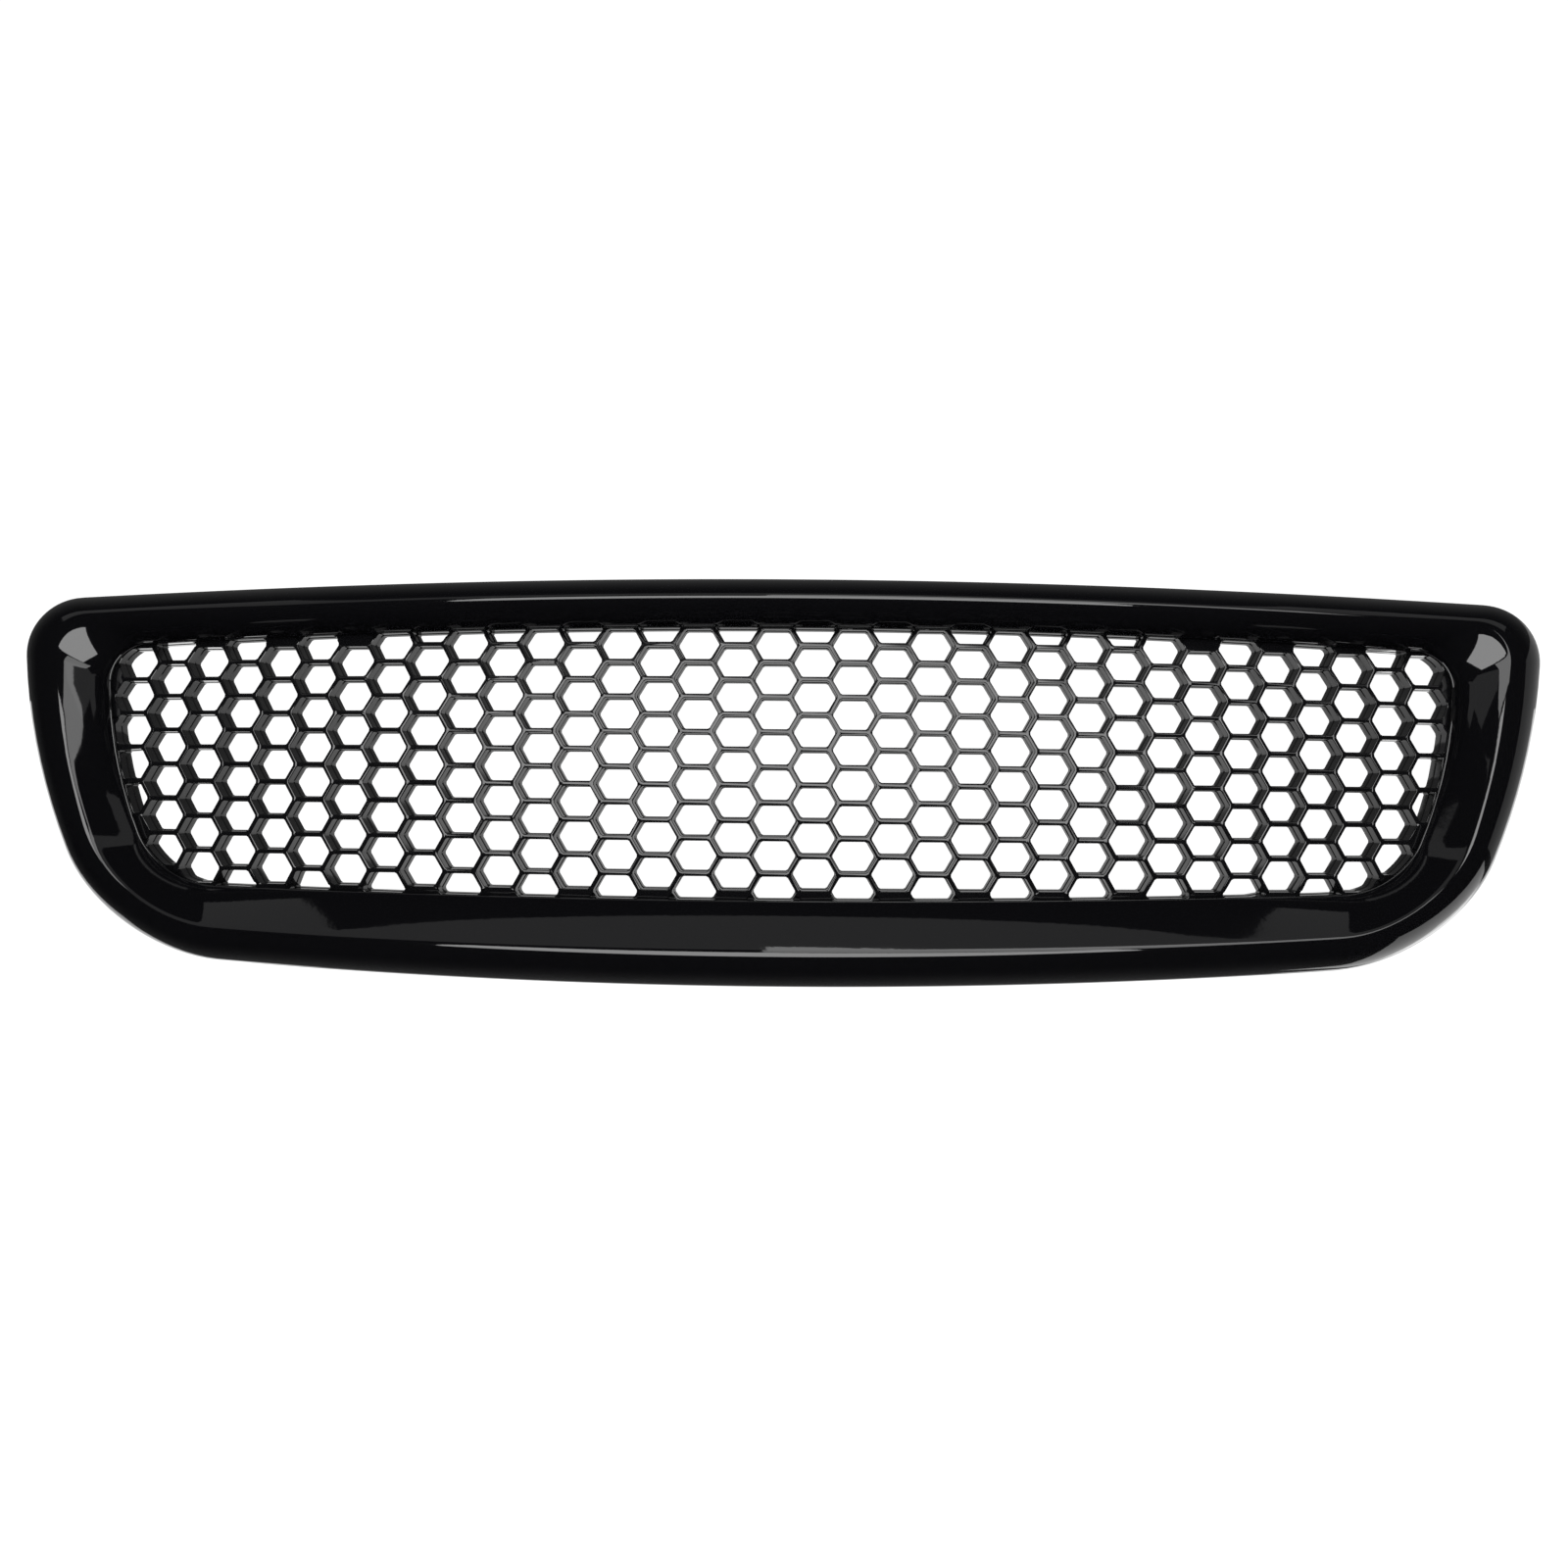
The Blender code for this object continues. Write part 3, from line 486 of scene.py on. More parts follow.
for name in nut_nodes:
    low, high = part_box(name)
    x = (low.x + high.x) / 2
    rear = high.y - NUT_OVER_TAB
    top = high.z - NUT_OVER_TAB
    plate = block("tab", (x - TAB.x / 2, rear - TAB.y, top - TAB.z), (x + TAB.x / 2, rear, top), 0)
    only(plate)
    bpy.ops.object.mode_set(mode='EDIT')
    bpy.ops.mesh.select_all(action='DESELECT')
    mesh = bmesh.from_edit_mesh(plate.data)
    for line in mesh.edges:
        ends = [v.co for v in line.verts]
        line.select = min(p.y for p in ends) > rear - 1e-5 and abs(ends[0].z - ends[1].z) > TAB.z / 2
    bmesh.update_edit_mesh(plate.data)
    bpy.ops.mesh.bevel(offset=TAB_CORNER, segments=5)
    bpy.ops.object.mode_set(mode='OBJECT')
    hole = turned("hole", [(TAB_HOLE_R, -TAB.z), (TAB_HOLE_R, TAB.z)], ROUND_SIDES,
                  Vector((x, rear - TAB_HOLE_BACK, top - TAB.z / 2)), axis='Z')
    modified(plate, 'BOOLEAN', operation='DIFFERENCE', solver='EXACT', object=hole)
    bpy.data.objects.remove(hole)
    modified(plate, 'BEVEL', width=TAB_EDGE, segments=2, limit_method='ANGLE', angle_limit=0.8)
    moulded_on.append(plate)
    for side in (-1, 1):
        middle = x + side * (TAB.x / 2 - TAB_RIB.x)
        front = rear - TAB.y + TAB_RIB_BACK
        rib = block("tab_rib", (middle - TAB_RIB.x / 2, front, top - TAB_RIB.z),
                    (middle + TAB_RIB.x / 2, front + TAB_RIB.y, top - TAB.z / 2), 0)
        for vertex in rib.data.vertices:
            if vertex.co.y > front + TAB_RIB.y / 2 and vertex.co.z < top - TAB.z:
                vertex.co.y -= TAB_RIB_SLOPE
        modified(rib, 'BEVEL', width=TAB_EDGE, segments=2, limit_method='NONE')
        moulded_on.append(rib)

for name in grommet_nodes:
    low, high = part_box(name)
    middle = (low + high) / 2
    shoulder = low.y - FITTING_GAP
    profile = [(PEG_R, shoulder - PEG_FRONT), (PEG_R, shoulder + PEG_L * 0.85),
               (PEG_R * 0.9, shoulder + PEG_L * 0.91), (PEG_R * 0.62, shoulder + PEG_L * 0.985),
               (PEG_R * 0.5, shoulder + PEG_L)]
    moulded_on.append(turned("peg", profile, ROUND_SIDES, Vector((middle.x, 0, middle.z))))
    foot = middle.z - PEG_UP + PEG_WEB_SINK
    web = block("peg_web", (middle.x - PEG_WEB_T / 2, shoulder - PEG_L / 2, foot),
                (middle.x + PEG_WEB_T / 2, shoulder - PEG_WEB_BACK, middle.z + PEG_R * 0.6))
    moulded_on.append(web)

for piece in moulded_on:
    piece.data.materials.clear()
    piece.data.materials.append(gloss_black_abs)
    piece.data.materials.append(satin_black_abs)
    for face in piece.data.polygons:
        face.material_index = 1
    smooth(piece, SMOOTH_ANGLE)
bpy.ops.object.select_all(action='DESELECT')
for piece in moulded_on:
    piece.select_set(True)
surround.select_set(True)
bpy.context.view_layer.objects.active = surround
bpy.ops.object.join()

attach(surround, "root")
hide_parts("surround_shell")

# ==== honeycomb insert ========================================================================
# The mesh is a second moulding in gloss black ABS, screwed in from behind. Its web has a narrow
# raised ridge in front with softened edges, a step halfway down the wall and a thicker foot; the
# ridges stop short of the rim, which is sunk below them behind the surround's lip.
CELL_PITCH_X = 0.0230
CELL_PITCH_Z = 0.02068
WEB = 0.0025
RIM_IN = 0.0006
RIM_WALL = 0.003
FLANGE_OUT = 0.016
FLANGE_T = 0.003
FRONT_Y = -0.009
INSERT_REAR_Y = 0.009
SMALLEST_CELL = 0.0001
SHORTEST_EDGE = 0.0016
# each ring round an opening: how far inside the opening's outline it lies, and its depth
RIDGE_EDGE = (-0.00045, -0.0090)
RIDGE_SIDE = (0.0, -0.0085)
WALL_RINGS = ((0.00008, 0.0012), (0.00050, 0.0017), (0.00060, 0.0090))
RIM_SUNK = 0.0016
RIDGE_STOPS = (0.0026, 0.0032)
CORNER_CUT = 0.0008
CORNER_SHARE = 0.3           # most of an edge that a cut corner may take
BLUNT_ANGLE = 2.6            # corners blunter than this stay as they are
COLUMNS = range(-20, 21)
ROWS = range(-8, 9)
SAME_POINT = 1e-7
CREASE_ANGLE = 0.87
NORMAL_WEIGHT = 60
PAD_R = 0.0050
PAD_BORE_R = 0.0024
PAD_FRONT = 0.0050
PAD_REAR = 0.0117
PAD_SIDES = 20
PAD_CHAMFER = 0.0003
HEX_MESH_BLACK = "070708"


def cut_to(polygon, fence):
    """The part of a convex polygon inside a convex clockwise fence."""
    for i, a in enumerate(fence):
        way = fence[(i + 1) % len(fence)] - a
        kept = []
        for j, p in enumerate(polygon):
            q = polygon[(j + 1) % len(polygon)]
            at_p = way.x * (p.y - a.y) - way.y * (p.x - a.x)
            at_q = way.x * (q.y - a.y) - way.y * (q.x - a.x)
            if at_p <= 0:
                kept.append(p)
            if (at_p < 0) != (at_q < 0) and at_p != at_q:
                kept.append(p.lerp(q, at_p / (at_p - at_q)))
        polygon = kept
        if len(polygon) < 3:
            return []
    return polygon


def without_short_edges(polygon):
    """The polygon without corners that crowd the one before."""
    kept = []
    for p in polygon:
        if not kept or (p - kept[-1]).length > SHORTEST_EDGE:
            kept.append(p)
    while len(kept) > 2 and (kept[0] - kept[-1]).length <= SHORTEST_EDGE:
        kept.pop()
    return kept


def area(polygon):
    """Area of a flat polygon."""
    pairs = zip(polygon, polygon[1:] + polygon[:1])
    return abs(sum(p.x * q.y - q.x * p.y for p, q in pairs)) / 2


def inside_by(p, fence):
    """How far a point lies inside the fence; less than nothing outside it."""
    best = 1.0
    for a, b in zip(fence, fence[1:] + fence[:1]):
        way = b - a
        reach = max(0.0, min(1.0, (p - a).dot(way) / way.length_squared))
        best = min(best, (p - a - way * reach).length)
    side = min((p - a).cross(b - a) / (b - a).length for a, b in zip(fence, fence[1:] + fence[:1]))
    return best if side > 0 else -best


def softened(polygon, sharp):
    """The polygon with its sharp corners cut back."""
    result = []
    for i, p in enumerate(polygon):
        if sharp[i]:
            for other in (polygon[i - 1], polygon[(i + 1) % len(polygon)]):
                way = other - p
                result.append(p + way.normalized() * min(CORNER_CUT, way.length * CORNER_SHARE))
        else:
            result.append(p)
    return result


def cell_from(polygon, fence):
    """A cell: its polygon, its sharp corners, where its ridges step down, and how far inside."""
    count = len(polygon)
    sharp = [abs((polygon[i - 1] - p).angle(polygon[(i + 1) % count] - p)) < BLUNT_ANGLE
             for i, p in enumerate(polygon)]
    loop = softened(polygon, sharp)
    depths = [inside_by(p, fence) for p in loop]
    stops = []
    levels = []
    for i, here in enumerate(depths):
        there = depths[(i + 1) % len(depths)]
        shares = [(s - here) / (there - here) for s in RIDGE_STOPS if (here - s) * (there - s) < 0]
        shares = [0.0] + sorted(shares)
        stops.append(shares)
        levels += [here + (there - here) * share for share in shares]
    return polygon, sharp, stops, levels


def cell_loop(cell, inside):
    """The cell's outline moved in by a distance, with its corners cut and its stops added."""
    polygon, sharp, stops, _ = cell
    loop = softened(grown(polygon, -inside), sharp)
    result = []
    for i, shares in enumerate(stops):
        result += [loop[i].lerp(loop[(i + 1) % len(loop)], share) for share in shares]
    return result


def sunk(inside):
    """How far the ridge lies below its full height at this distance inside the rim."""
    low, high = RIDGE_STOPS
    share = (high - inside) / (high - low)
    return RIM_SUNK * max(0.0, min(1.0, share))


def sheet_face(bm, borders):
    """Fills inside the first border and outside the others. A border is (flat points, depths)."""
    points = []
    depths = []
    edges = []
    spans = []
    for border, levels in borders:
        start = len(points)
        count = len(border)
        points += border
        depths += levels
        edges += [(start + i, start + (i + 1) % count) for i in range(count)]
        spans.append((start, count))
    result = delaunay_2d_cdt(points, edges, [], 2, SAME_POINT)
    place = {}
    verts = []
    for new, olds in enumerate(result[3]):
        p = result[0][new]
        if not olds:
            raise ValueError("two borders of the sheet cross")
        verts.append(bm.verts.new(laid([p], depths[olds[0]])[0]))
        for old in olds:
            place[old] = verts[new]
    owner = {}
    for number, (start, count) in enumerate(spans):
        for old in range(start, start + count):
            owner[place[old]] = number
    for face in result[2]:
        owners = {owner[verts[i]] for i in face}
        if owners == {0} or len(owners) > 1:
            bm.faces.new([verts[i] for i in face])
    return [[place[start + i] for i in range(count)] for start, count in spans]


def walls(bm, rings):
    """Quads between rings of equal count."""
    for a, b in zip(rings, rings[1:]):
        for i in range(len(a)):
            j = (i + 1) % len(a)
            bm.faces.new((a[i], a[j], b[j], b[i]))


def ring_at(bm, loop, depths):
    """Vertices along a flat loop, each at its own depth on the bowed face."""
    return [bm.verts.new(laid([p], depth)[0]) for p, depth in zip(loop, depths)]


fence = grown(lip, -RIM_IN)
slant = CELL_PITCH_Z / (2 * sin(pi / 3))
flat = CELL_PITCH_X - slant * cos(pi / 3)
opening = [Vector((flat / 2 + slant / 2, 0)), Vector((flat / 2, -CELL_PITCH_Z / 2)),
           Vector((-flat / 2, -CELL_PITCH_Z / 2)), Vector((-flat / 2 - slant / 2, 0)),
           Vector((-flat / 2, CELL_PITCH_Z / 2)), Vector((flat / 2, CELL_PITCH_Z / 2))]
opening = grown(opening, -WEB / 2)
openings = []
for column in COLUMNS:
    for row in ROWS:
        up = row + (0.5 if column % 2 == 0 else 0.0)
        middle = Vector((column * CELL_PITCH_X, up * CELL_PITCH_Z))
        cell = without_short_edges(cut_to([middle + p for p in opening], fence))
        if len(cell) > 2 and area(cell) > SMALLEST_CELL:
            openings.append(cell_from(cell, fence))

screw_places = []
for name in screw_nodes:
    low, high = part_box(name)
    screw_places.append(Vector(((low.x + high.x) / 2 - shift.x, (low.z + high.z) / 2 - shift.z)))


def round_pad(middle, radius):
    """Clockwise circle of flat points."""
    turns = [2 * pi * i / PAD_SIDES for i in range(PAD_SIDES)]
    return [middle + Vector((radius * sin(t), radius * cos(t))) for t in turns]


bm = bmesh.new()
rim = grown(lip, RIM_WALL - RIM_IN)
flange = grown(lip, FLANGE_OUT)
pads = [round_pad(p, PAD_R) for p in screw_places]
flange_front = INSERT_REAR_Y - FLANGE_T
front_borders = [(rim, [FRONT_Y + RIM_SUNK] * len(rim))]
rear_borders = [(flange, [INSERT_REAR_Y] * len(flange))]
for cell in openings:
    levels = cell[-1]
    front_borders.append((cell_loop(cell, RIDGE_EDGE[0]), [RIDGE_EDGE[1] + sunk(d) for d in levels]))
    rear_borders.append((cell_loop(cell, WALL_RINGS[-1][0]), [WALL_RINGS[-1][1]] * len(levels)))
rear_borders += [(pad, [INSERT_REAR_Y] * PAD_SIDES) for pad in pads]
front = sheet_face(bm, front_borders)
rear = sheet_face(bm, rear_borders)
step = sheet_face(bm, [(flange, [flange_front] * len(flange)), (rim, [flange_front] * len(rim))]
                  + [(pad, [flange_front] * PAD_SIDES) for pad in pads])
for cell, ridge, foot in zip(openings, front[1:], rear[1:]):
    levels = [RIDGE_SIDE[1] + sunk(d) for d in cell[-1]]
    rings = [ridge, ring_at(bm, cell_loop(cell, RIDGE_SIDE[0]), levels)]
    for inside, depth in WALL_RINGS[:-1]:
        rings.append(ring_at(bm, cell_loop(cell, inside), [depth] * len(levels)))
    walls(bm, rings + [foot])
walls(bm, [front[0], step[1]])
walls(bm, [step[0], rear[0]])
for middle, low_ring, high_ring in zip(screw_places, step[2:], rear[1 + len(openings):]):
    y = face_y(middle.x, middle.y)
    rings = [low_ring]
    for radius, depth in ((PAD_R, PAD_FRONT), (PAD_BORE_R, PAD_FRONT), (PAD_BORE_R, PAD_REAR),
                          (PAD_R - PAD_CHAMFER, PAD_REAR), (PAD_R, PAD_REAR - PAD_CHAMFER)):
        rings.append([bm.verts.new(Vector((p.x, y + depth, p.y)) + shift)
                      for p in round_pad(middle, radius)])
    walls(bm, rings + [high_ring])
bmesh.ops.recalc_face_normals(bm, faces=bm.faces)
honeycomb_mesh = bpy.data.meshes.new("honeycomb")
bm.to_mesh(honeycomb_mesh)
bm.free()
honeycomb = bpy.data.objects.new("honeycomb", honeycomb_mesh)
bpy.context.collection.objects.link(honeycomb)
honeycomb_mesh.materials.append(polished_abs("gloss_black_mesh_abs", HEX_MESH_BLACK, 0.07, 0.12))
smooth(honeycomb, CREASE_ANGLE)
modified(honeycomb, 'WEIGHTED_NORMAL', keep_sharp=True, weight=NORMAL_WEIGHT)
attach(honeycomb, "root")
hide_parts("honeycomb_insert")

# ==== insert screws ===========================================================================
# Thread-forming steel screws with pan heads and a cross recess, turned and rolled, then plated
# black. They go in from behind, through the insert's pads into the surround's bosses.
SCREW_R = 0.0016
SCREW_CORE_R = 0.0012
HEAD_R = 0.0042
HEAD_H = 0.0026
SCREW_L = 0.0203
THREAD_PITCH = 0.0012
POINT_L = 0.0020
BARE_SHANK = 0.0020
SCREW_SIDES = 24
SCREW_TURN = 0.7             # each screw stopped at another turn
RECESS_W = 0.0010
RECESS_SPAN = 0.0048
RECESS_DEEP = 0.0016
RECESS_TAPER = 0.6
HEX_BLACK_ZINC = "3A3A3C"

# Black zinc plate: dark metal with a soft sheen, a little uneven from the barrel it was plated in.
black_zinc_steel, tree, shader, places = new_material("black_zinc_plated_steel", HEX_BLACK_ZINC,
                                                      metallic=1.0)
plate = node(tree, "ShaderNodeTexNoise", {"Vector": places, "Scale": 900.0, "Detail": 4.0})
spread = node(tree, "ShaderNodeMapRange", {"Value": plate.outputs["Fac"], "From Min": 0.3, "From Max": 0.7,
                                           "To Min": 0.28, "To Max": 0.48})
tree.links.new(spread.outputs["Result"], shader.inputs["Roughness"])
bump = node(tree, "ShaderNodeBump", {"Height": plate.outputs["Fac"], "Strength": 0.2, "Distance": 0.00005})
tree.links.new(bump.outputs["Normal"], shader.inputs["Normal"])

profile = [(0.0002, -SCREW_L), (SCREW_CORE_R, -SCREW_L + POINT_L)]
turns = int((SCREW_L - HEAD_H - POINT_L - BARE_SHANK) / THREAD_PITCH)
for i in range(turns):
    start = -SCREW_L + POINT_L + i * THREAD_PITCH
    profile += [(SCREW_CORE_R, start + THREAD_PITCH / 3), (SCREW_R, start + THREAD_PITCH * 2 / 3),
                (SCREW_CORE_R, start + THREAD_PITCH)]
profile += [(SCREW_R, -HEAD_H - 0.0003), (SCREW_R, -HEAD_H), (HEAD_R - 0.0002, -HEAD_H),
            (HEAD_R, -HEAD_H + 0.0003), (HEAD_R, -HEAD_H * 0.6), (HEAD_R * 0.93, -HEAD_H * 0.33),
            (HEAD_R * 0.8, -HEAD_H * 0.14), (HEAD_R * 0.55, -HEAD_H * 0.02), (HEAD_R * 0.2, 0.0)]
pattern_screw = turned("insert_screw", profile, SCREW_SIDES, Vector((0, 0, 0)))
for turn in (0, 1):
    half = Vector((RECESS_SPAN / 2, 0, RECESS_W / 2)) if turn else Vector((RECESS_W / 2, 0, RECESS_SPAN / 2))
    cutter = block("recess", (-half.x, -RECESS_DEEP, -half.z), (half.x, 0.001, half.z), 0)
    for vertex in cutter.data.vertices:
        if vertex.co.y < 0:
            vertex.co.x *= RECESS_TAPER
            vertex.co.z *= RECESS_TAPER
    modified(pattern_screw, 'BOOLEAN', operation='DIFFERENCE', solver='EXACT', object=cutter)
    bpy.data.objects.remove(cutter)
smooth(pattern_screw, SMOOTH_ANGLE)
pattern_screw.data.materials.clear()
pattern_screw.data.materials.append(black_zinc_steel)


def copied(pattern, name, place, turn=None):
    """A copy with its own mesh, its place taken into the mesh."""
    piece = pattern.copy()
    piece.data = pattern.data.copy()
    piece.name = name
    piece.data.name = name
    bpy.context.collection.objects.link(piece)
    if turn is not None:
        piece.data.transform(turn)
    piece.data.transform(Matrix.Translation(place))
    return piece


for i, name in enumerate(screw_nodes):
    low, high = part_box(name)
    place = Vector(((low.x + high.x) / 2, high.y, (low.z + high.z) / 2))
    screw = copied(pattern_screw, f"pan_screw_{i + 1:02d}", place, Matrix.Rotation(SCREW_TURN * i, 4, 'Y'))
    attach(screw, "root")
    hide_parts(name)
bpy.data.objects.remove(pattern_screw)

# ==== spring nuts =============================================================================
# Clips folded from spring steel strip, hardened and phosphated, with a drawn and tapped barrel.
# They are pushed over the rear edge of the upper tabs, so that a screw can go down through both.
CLIP_W = 0.0160
CLIP_T = 0.0009
CLIP_L = 0.0220
CLIP_HALF = 0.0018
CLIP_HOLE_R = 0.0032
CLIP_BARREL_R = 0.0046
CLIP_BARREL_H = 0.0050
CLIP_FOLD_STEPS = 6
CLIP_LEAD = 0.0014           # how far the lower leaf's end is turned down
CLIP_EDGE = 0.00015
NUT_THREADS = 4
NUT_THREAD_IN = 0.0002
NUT_THREAD_OUT = 0.0003
HEX_PHOSPHATE = "4A4946"

# Phosphated spring steel: a fine grey crystal coat, dry and nearly matt, browner where it is thin.
phosphated_steel, tree, shader, places = new_material("phosphated_spring_steel", HEX_PHOSPHATE,
                                                      metallic=0.85)
crystals = node(tree, "ShaderNodeTexVoronoi", {"Vector": places, "Scale": 2200.0})
patches = node(tree, "ShaderNodeTexNoise", {"Vector": places, "Scale": 220.0, "Detail": 3.0})
tint = node(tree, "ShaderNodeMix", {"Factor": patches.outputs["Fac"], "A": linear("4E4B46"),
                                    "B": linear("3B3C3E")}, data_type='RGBA')
tree.links.new(tint.outputs["Result"], shader.inputs["Base Color"])
spread = node(tree, "ShaderNodeMapRange", {"Value": crystals.outputs["Distance"], "From Min": 0.0,
                                           "From Max": 0.6, "To Min": 0.42, "To Max": 0.62})
tree.links.new(spread.outputs["Result"], shader.inputs["Roughness"])
bump = node(tree, "ShaderNodeBump", {"Height": crystals.outputs["Distance"], "Strength": 0.25,
                                     "Distance": 0.00005})
tree.links.new(bump.outputs["Normal"], shader.inputs["Normal"])

fold_r = CLIP_HALF + CLIP_T / 2
path = [(-CLIP_L, fold_r), (-CLIP_L * 0.5, fold_r)]
for i in range(CLIP_FOLD_STEPS + 1):
    turn = pi * i / CLIP_FOLD_STEPS
    path.append((-fold_r + CLIP_T / 2 + FITTING_GAP + 0.0001 + fold_r * sin(turn), fold_r * cos(turn)))
path += [(-CLIP_L * 0.5, -fold_r), (-CLIP_L * 0.88, -fold_r), (-CLIP_L, -fold_r - CLIP_LEAD)]
bpy.ops.object.select_all(action='DESELECT')
bpy.ops.mesh.primitive_grid_add(x_subdivisions=1, y_subdivisions=len(path) - 1, size=1.0)
pattern_nut = bpy.context.active_object
pattern_nut.name = "spring_nut"
for vertex in pattern_nut.data.vertices:
    along = path[round((vertex.co.y + 0.5) * (len(path) - 1))]
    vertex.co = Vector((vertex.co.x * CLIP_W, along[0], along[1]))
only(pattern_nut)
bpy.ops.object.mode_set(mode='EDIT')
bpy.ops.mesh.select_all(action='SELECT')
bpy.ops.mesh.normals_make_consistent(inside=False)
bpy.ops.object.mode_set(mode='OBJECT')
modified(pattern_nut, 'SOLIDIFY', thickness=CLIP_T, offset=0.0, use_even_offset=True)
centre = Vector((0, -TAB_HOLE_BACK, 0))
bore = turned("bore", [(CLIP_HOLE_R, -0.02), (CLIP_HOLE_R, 0.02)], ROUND_SIDES, centre, axis='Z')
modified(pattern_nut, 'BOOLEAN', operation='DIFFERENCE', solver='EXACT', object=bore)
bpy.data.objects.remove(bore)
modified(pattern_nut, 'BEVEL', width=CLIP_EDGE, segments=2, limit_method='ANGLE', angle_limit=0.9)
foot = -CLIP_HALF - CLIP_T / 2
tip = foot - CLIP_BARREL_H
profile = [(CLIP_BARREL_R, foot), (CLIP_BARREL_R, tip + 0.0004), (CLIP_BARREL_R - 0.0004, tip),
           (CLIP_HOLE_R + NUT_THREAD_OUT, tip)]
for i in range(NUT_THREADS):
    start = tip + 0.0004 + i * (CLIP_BARREL_H - 0.0006) / NUT_THREADS
    profile += [(CLIP_HOLE_R - NUT_THREAD_IN, start + 0.0003),
                (CLIP_HOLE_R + NUT_THREAD_OUT, start + 0.0008)]
profile.append((CLIP_HOLE_R, foot))
barrel = turned("barrel", profile, ROUND_SIDES, centre, axis='Z', closed=True)
for piece in (pattern_nut, barrel):
    smooth(piece, SMOOTH_ANGLE)
    piece.data.materials.clear()
    piece.data.materials.append(phosphated_steel)
only(pattern_nut)
barrel.select_set(True)
bpy.ops.object.join()
for i, name in enumerate(nut_nodes):
    low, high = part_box(name)
    place = Vector(((low.x + high.x) / 2, high.y - NUT_OVER_TAB, high.z - CLIP_HALF - CLIP_T))
    nut = copied(pattern_nut, f"clip_nut_{i + 1}", place)
    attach(nut, "root")
    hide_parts(name)
bpy.data.objects.remove(pattern_nut)

# ==== peg grommets ============================================================================
# Waisted grommets moulded in black rubber. They sit on the lower pegs, and the waist takes the
# edge of a hole in the body panel.
GROMMET_R = 0.0095
GROMMET_WAIST_R = 0.0072
GROMMET_HALF = 0.0045
WAIST_HALF = 0.0015
ROUNDING = 0.0006
WAIST_ROUND = 0.0004
GROMMET_SIDES = 48
RUBBER_SMOOTH = 0.9
HEX_RUBBER = "1B1B1B"

# Black rubber: matt, with a pale bloom in patches some millimetres wide and a fine mould grain.
black_rubber, tree, shader, places = new_material("black_moulded_rubber", HEX_RUBBER, ior=1.52)
bloom = node(tree, "ShaderNodeTexNoise", {"Vector": places, "Scale": 300.0, "Detail": 5.0})
tint = node(tree, "ShaderNodeMix", {"Factor": bloom.outputs["Fac"], "A": linear("161616"),
                                    "B": linear("282827")}, data_type='RGBA')
tree.links.new(tint.outputs["Result"], shader.inputs["Base Color"])
spread = node(tree, "ShaderNodeMapRange", {"Value": bloom.outputs["Fac"], "From Min": 0.3, "From Max": 0.7,
                                           "To Min": 0.6, "To Max": 0.85})
tree.links.new(spread.outputs["Result"], shader.inputs["Roughness"])
grain = node(tree, "ShaderNodeTexNoise", {"Vector": places, "Scale": 2500.0, "Detail": 2.0})
bump = node(tree, "ShaderNodeBump", {"Height": grain.outputs["Fac"], "Strength": 0.3, "Distance": 0.0001})
tree.links.new(bump.outputs["Normal"], shader.inputs["Normal"])

hole = PEG_R + FITTING_GAP
profile = [(hole, -GROMMET_HALF + ROUNDING / 2), (hole + ROUNDING / 2, -GROMMET_HALF),
           (GROMMET_R - ROUNDING, -GROMMET_HALF),
           (GROMMET_R - ROUNDING * 0.3, -GROMMET_HALF + ROUNDING * 0.3),
           (GROMMET_R, -GROMMET_HALF + ROUNDING), (GROMMET_R, -WAIST_HALF - ROUNDING),
           (GROMMET_R - ROUNDING * 0.5, -WAIST_HALF - ROUNDING * 0.1),
           (GROMMET_WAIST_R + WAIST_ROUND, -WAIST_HALF), (GROMMET_WAIST_R, -WAIST_HALF + WAIST_ROUND),
           (GROMMET_WAIST_R, WAIST_HALF - WAIST_ROUND), (GROMMET_WAIST_R + WAIST_ROUND, WAIST_HALF),
           (GROMMET_R - ROUNDING * 0.5, WAIST_HALF + ROUNDING * 0.1),
           (GROMMET_R, WAIST_HALF + ROUNDING), (GROMMET_R * 0.97, GROMMET_HALF * 0.75),
           (GROMMET_R * 0.86, GROMMET_HALF * 0.97), (GROMMET_R * 0.8, GROMMET_HALF),
           (hole + ROUNDING / 2, GROMMET_HALF), (hole, GROMMET_HALF - ROUNDING / 2)]
pattern_grommet = turned("grommet", profile, GROMMET_SIDES, Vector((0, 0, 0)), closed=True)
smooth(pattern_grommet, RUBBER_SMOOTH)
pattern_grommet.data.materials.clear()
pattern_grommet.data.materials.append(black_rubber)
for i, name in enumerate(grommet_nodes):
    low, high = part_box(name)
    grommet = copied(pattern_grommet, f"rubber_grommet_{i + 1}", (low + high) / 2)
    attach(grommet, "root")
    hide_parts(name)
bpy.data.objects.remove(pattern_grommet)

# ==== studio ==================================================================================
# A pale floor in a white room, with soft lights round the grille and dimmer ones behind it.
FLOOR_Z = -0.75
FLOOR_HALF = 3.2
FLOOR_GLOW = 0.55

bpy.ops.object.select_all(action='DESELECT')
bpy.ops.mesh.primitive_plane_add(size=2 * FLOOR_HALF, location=(0, 0, FLOOR_Z))
floor = bpy.context.active_object
floor.name = "floor"
floor_paper, tree, shader, places = new_material("pale_floor_paper", "F2F2F2", roughness=0.9)
shader.inputs["Emission Color"].default_value = linear("F2F2F2")
shader.inputs["Emission Strength"].default_value = FLOOR_GLOW
floor.data.materials.append(floor_paper)
floor.visible_glossy = False


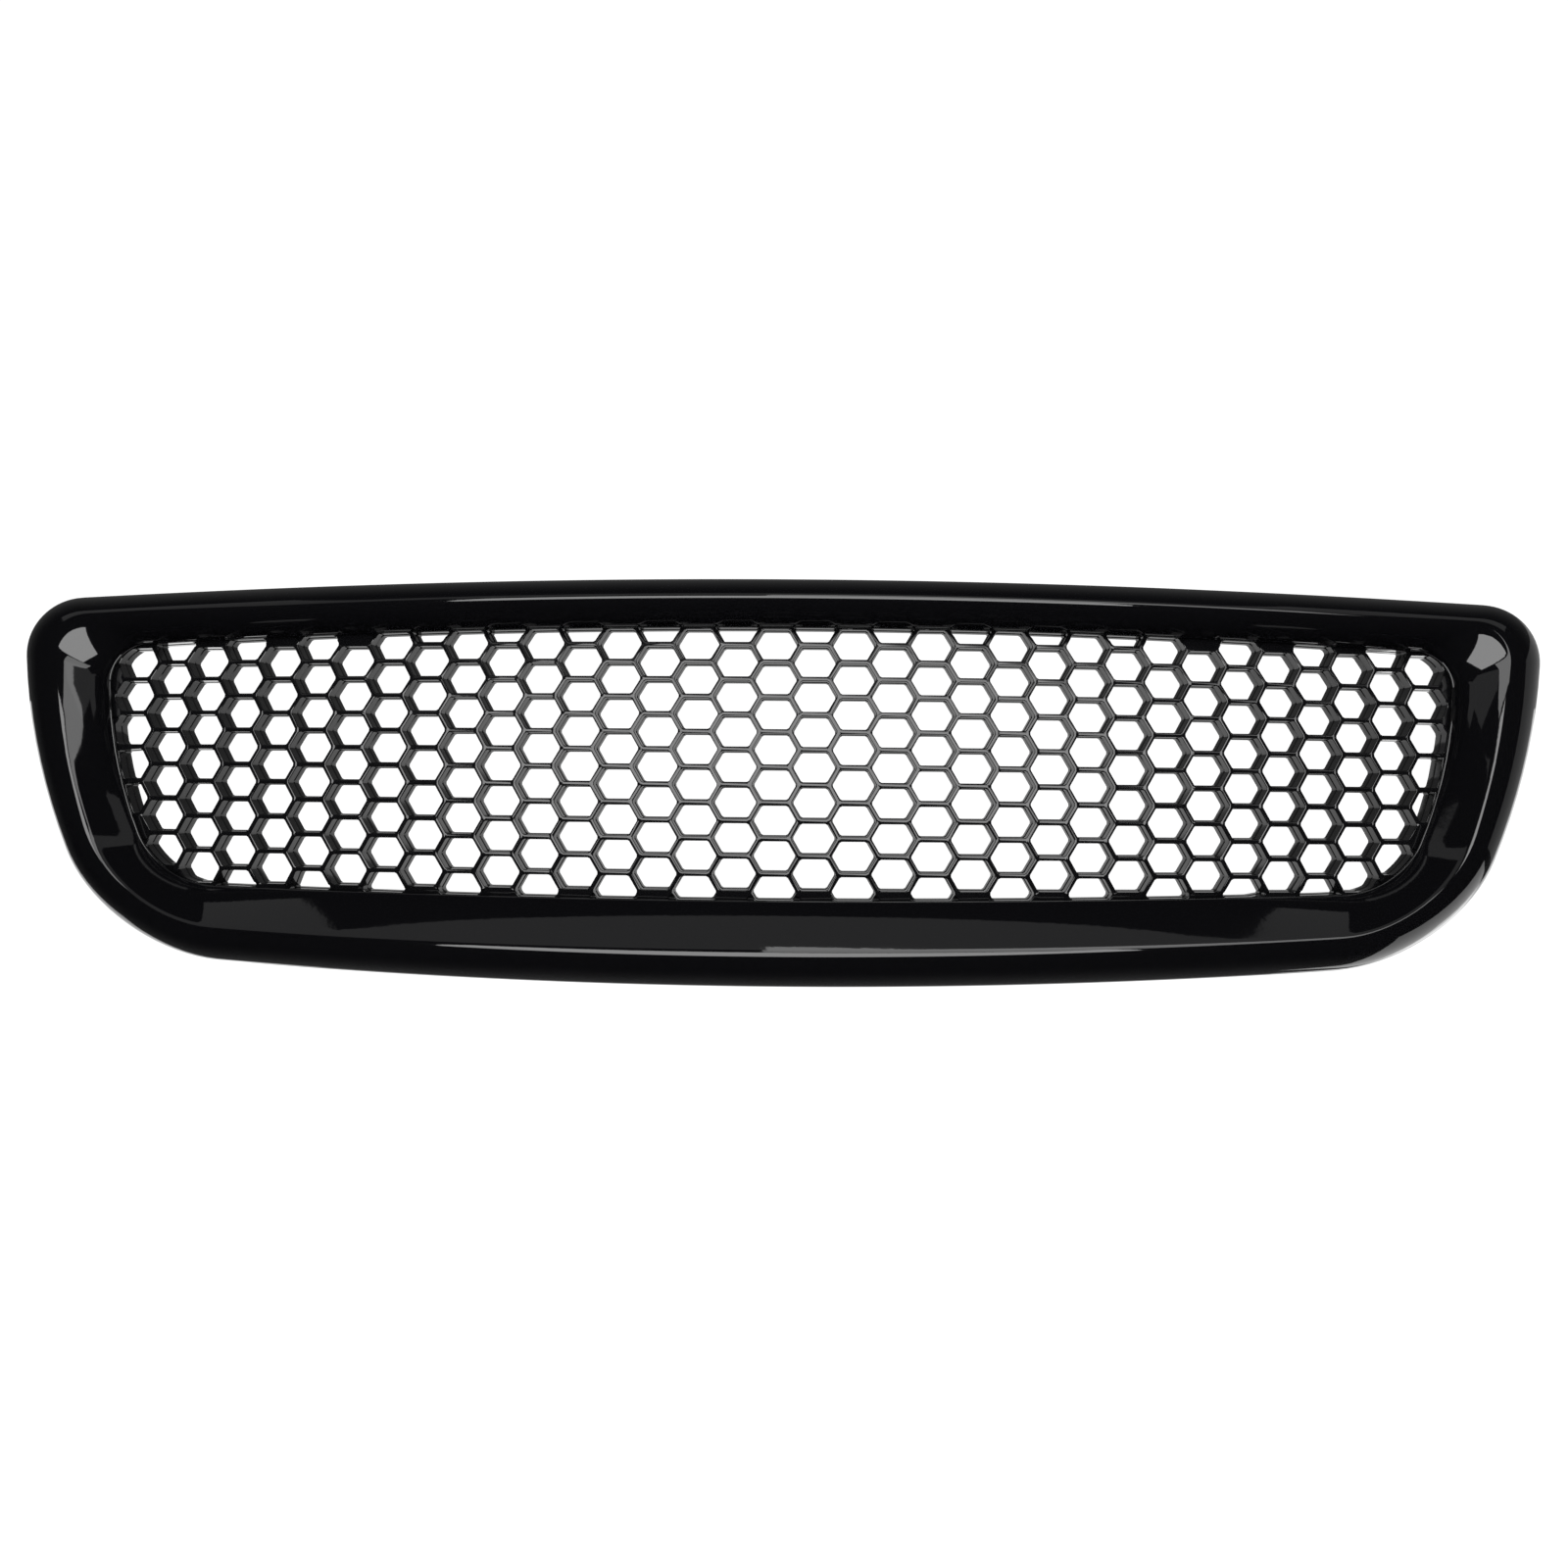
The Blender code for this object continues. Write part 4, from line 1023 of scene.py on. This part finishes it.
def softbox(name, place, aim, width, height, radiance):
    """A soft rectangular light, aimed at a point, with an even radiance over its face."""
    lamp = bpy.data.lights.new(name, 'AREA')
    lamp.shape = 'RECTANGLE'
    lamp.size = width
    lamp.size_y = height
    lamp.energy = radiance * 4 * width * height
    obj = bpy.data.objects.new(name, lamp)
    bpy.context.collection.objects.link(obj)
    obj.location = place
    obj.rotation_euler = (Vector(aim) - Vector(place)).to_track_quat('-Z', 'Y').to_euler()
    obj.visible_camera = False


softbox("main_softbox", (0.0, -1.0, 0.32), (0.0, 0.0, 0.32), 1.2, 0.84, 4.3)
softbox("overhead_fill", (0.0, -0.80, 1.1), (0.0, -0.79, 0.0), 2.4, 0.52, 0.28)
softbox("overhead_left", (-1.17, -0.33, 1.1), (-1.17, -0.32, 0.0), 0.74, 0.42, 0.28)
softbox("overhead_right", (1.15, -0.33, 1.1), (1.15, -0.32, 0.0), 0.74, 0.42, 0.28)
softbox("upper_right", (0.55, -1.0, 0.98), (0.55, 0.0, 0.98), 1.2, 0.40, 2.4)
softbox("right_fill", (1.5, 0.45, 0.1), (0.4, 0.0, 0.0), 1.4, 0.9, 0.25)
softbox("lower_right_fill", (1.05, 0.35, -0.6), (0.35, 0.0, -0.08), 1.0, 0.6, 1.0)
softbox("rear_left", (-1.15, 1.1, -0.35), (0, 0, 0), 0.9, 0.9, 0.8)
softbox("rear_right", (1.15, 1.1, -0.35), (0, 0, 0), 0.9, 0.9, 0.8)
softbox("rear_bounce", (0.0, 1.35, -0.2), (0.0, 0.0, -0.1), 1.8, 1.1, 0.28)

# The room: white to the eye; in reflections dim behind the grille and dark in front of it.
ROOM_WHITE = 1.15
ROOM_BEHIND = 0.09
ROOM_FRONT = 0.006
world = bpy.data.worlds.new("studio")
bpy.context.scene.world = world
world.use_nodes = True
tree = world.node_tree
way = node(tree, "ShaderNodeTexCoord", {}).outputs["Generated"]
back = node(tree, "ShaderNodeSeparateXYZ", {"Vector": way}).outputs["Y"]
room = node(tree, "ShaderNodeMapRange", {"Value": back, "From Min": -0.1, "From Max": 0.7,
                                         "To Min": ROOM_FRONT, "To Max": ROOM_BEHIND},
            interpolation_type='SMOOTHSTEP')
glossy = node(tree, "ShaderNodeLightPath", {}).outputs["Is Glossy Ray"]
glow = node(tree, "ShaderNodeMix", {"Factor": glossy, "A": ROOM_WHITE, "B": room.outputs["Result"]})
tree.links.new(glow.outputs["Result"], tree.nodes["Background"].inputs["Strength"])
tree.nodes["Background"].inputs["Color"].default_value = linear("F8F8F8")
bpy.context.scene.view_settings.view_transform = 'Standard'

# ==== camera ==================================================================================
# Level with the grille and a little below its middle, square on, just under a metre away.
CAMERA_AT = Vector((0.02177, -0.98729, -0.00881))
TURN_Z = 0.0173
TURN_X = 0.0074
TURN_Y = -0.0075
aim = Matrix.Rotation(TURN_Z, 3, 'Z') @ Matrix.Rotation(TURN_X, 3, 'X') @ Matrix.Rotation(TURN_Y, 3, 'Y')
right = aim.col[0]
forward = aim.col[1]
up = aim.col[2]
camera_data = bpy.data.cameras.new("camera")
camera_data.lens = 37.34
camera_data.sensor_width = 36.0
camera = bpy.data.objects.new("camera", camera_data)
bpy.context.collection.objects.link(camera)
camera.matrix_world = Matrix(((right.x, up.x, -forward.x, CAMERA_AT.x),
                              (right.y, up.y, -forward.y, CAMERA_AT.y),
                              (right.z, up.z, -forward.z, CAMERA_AT.z), (0, 0, 0, 1)))
bpy.context.scene.camera = camera
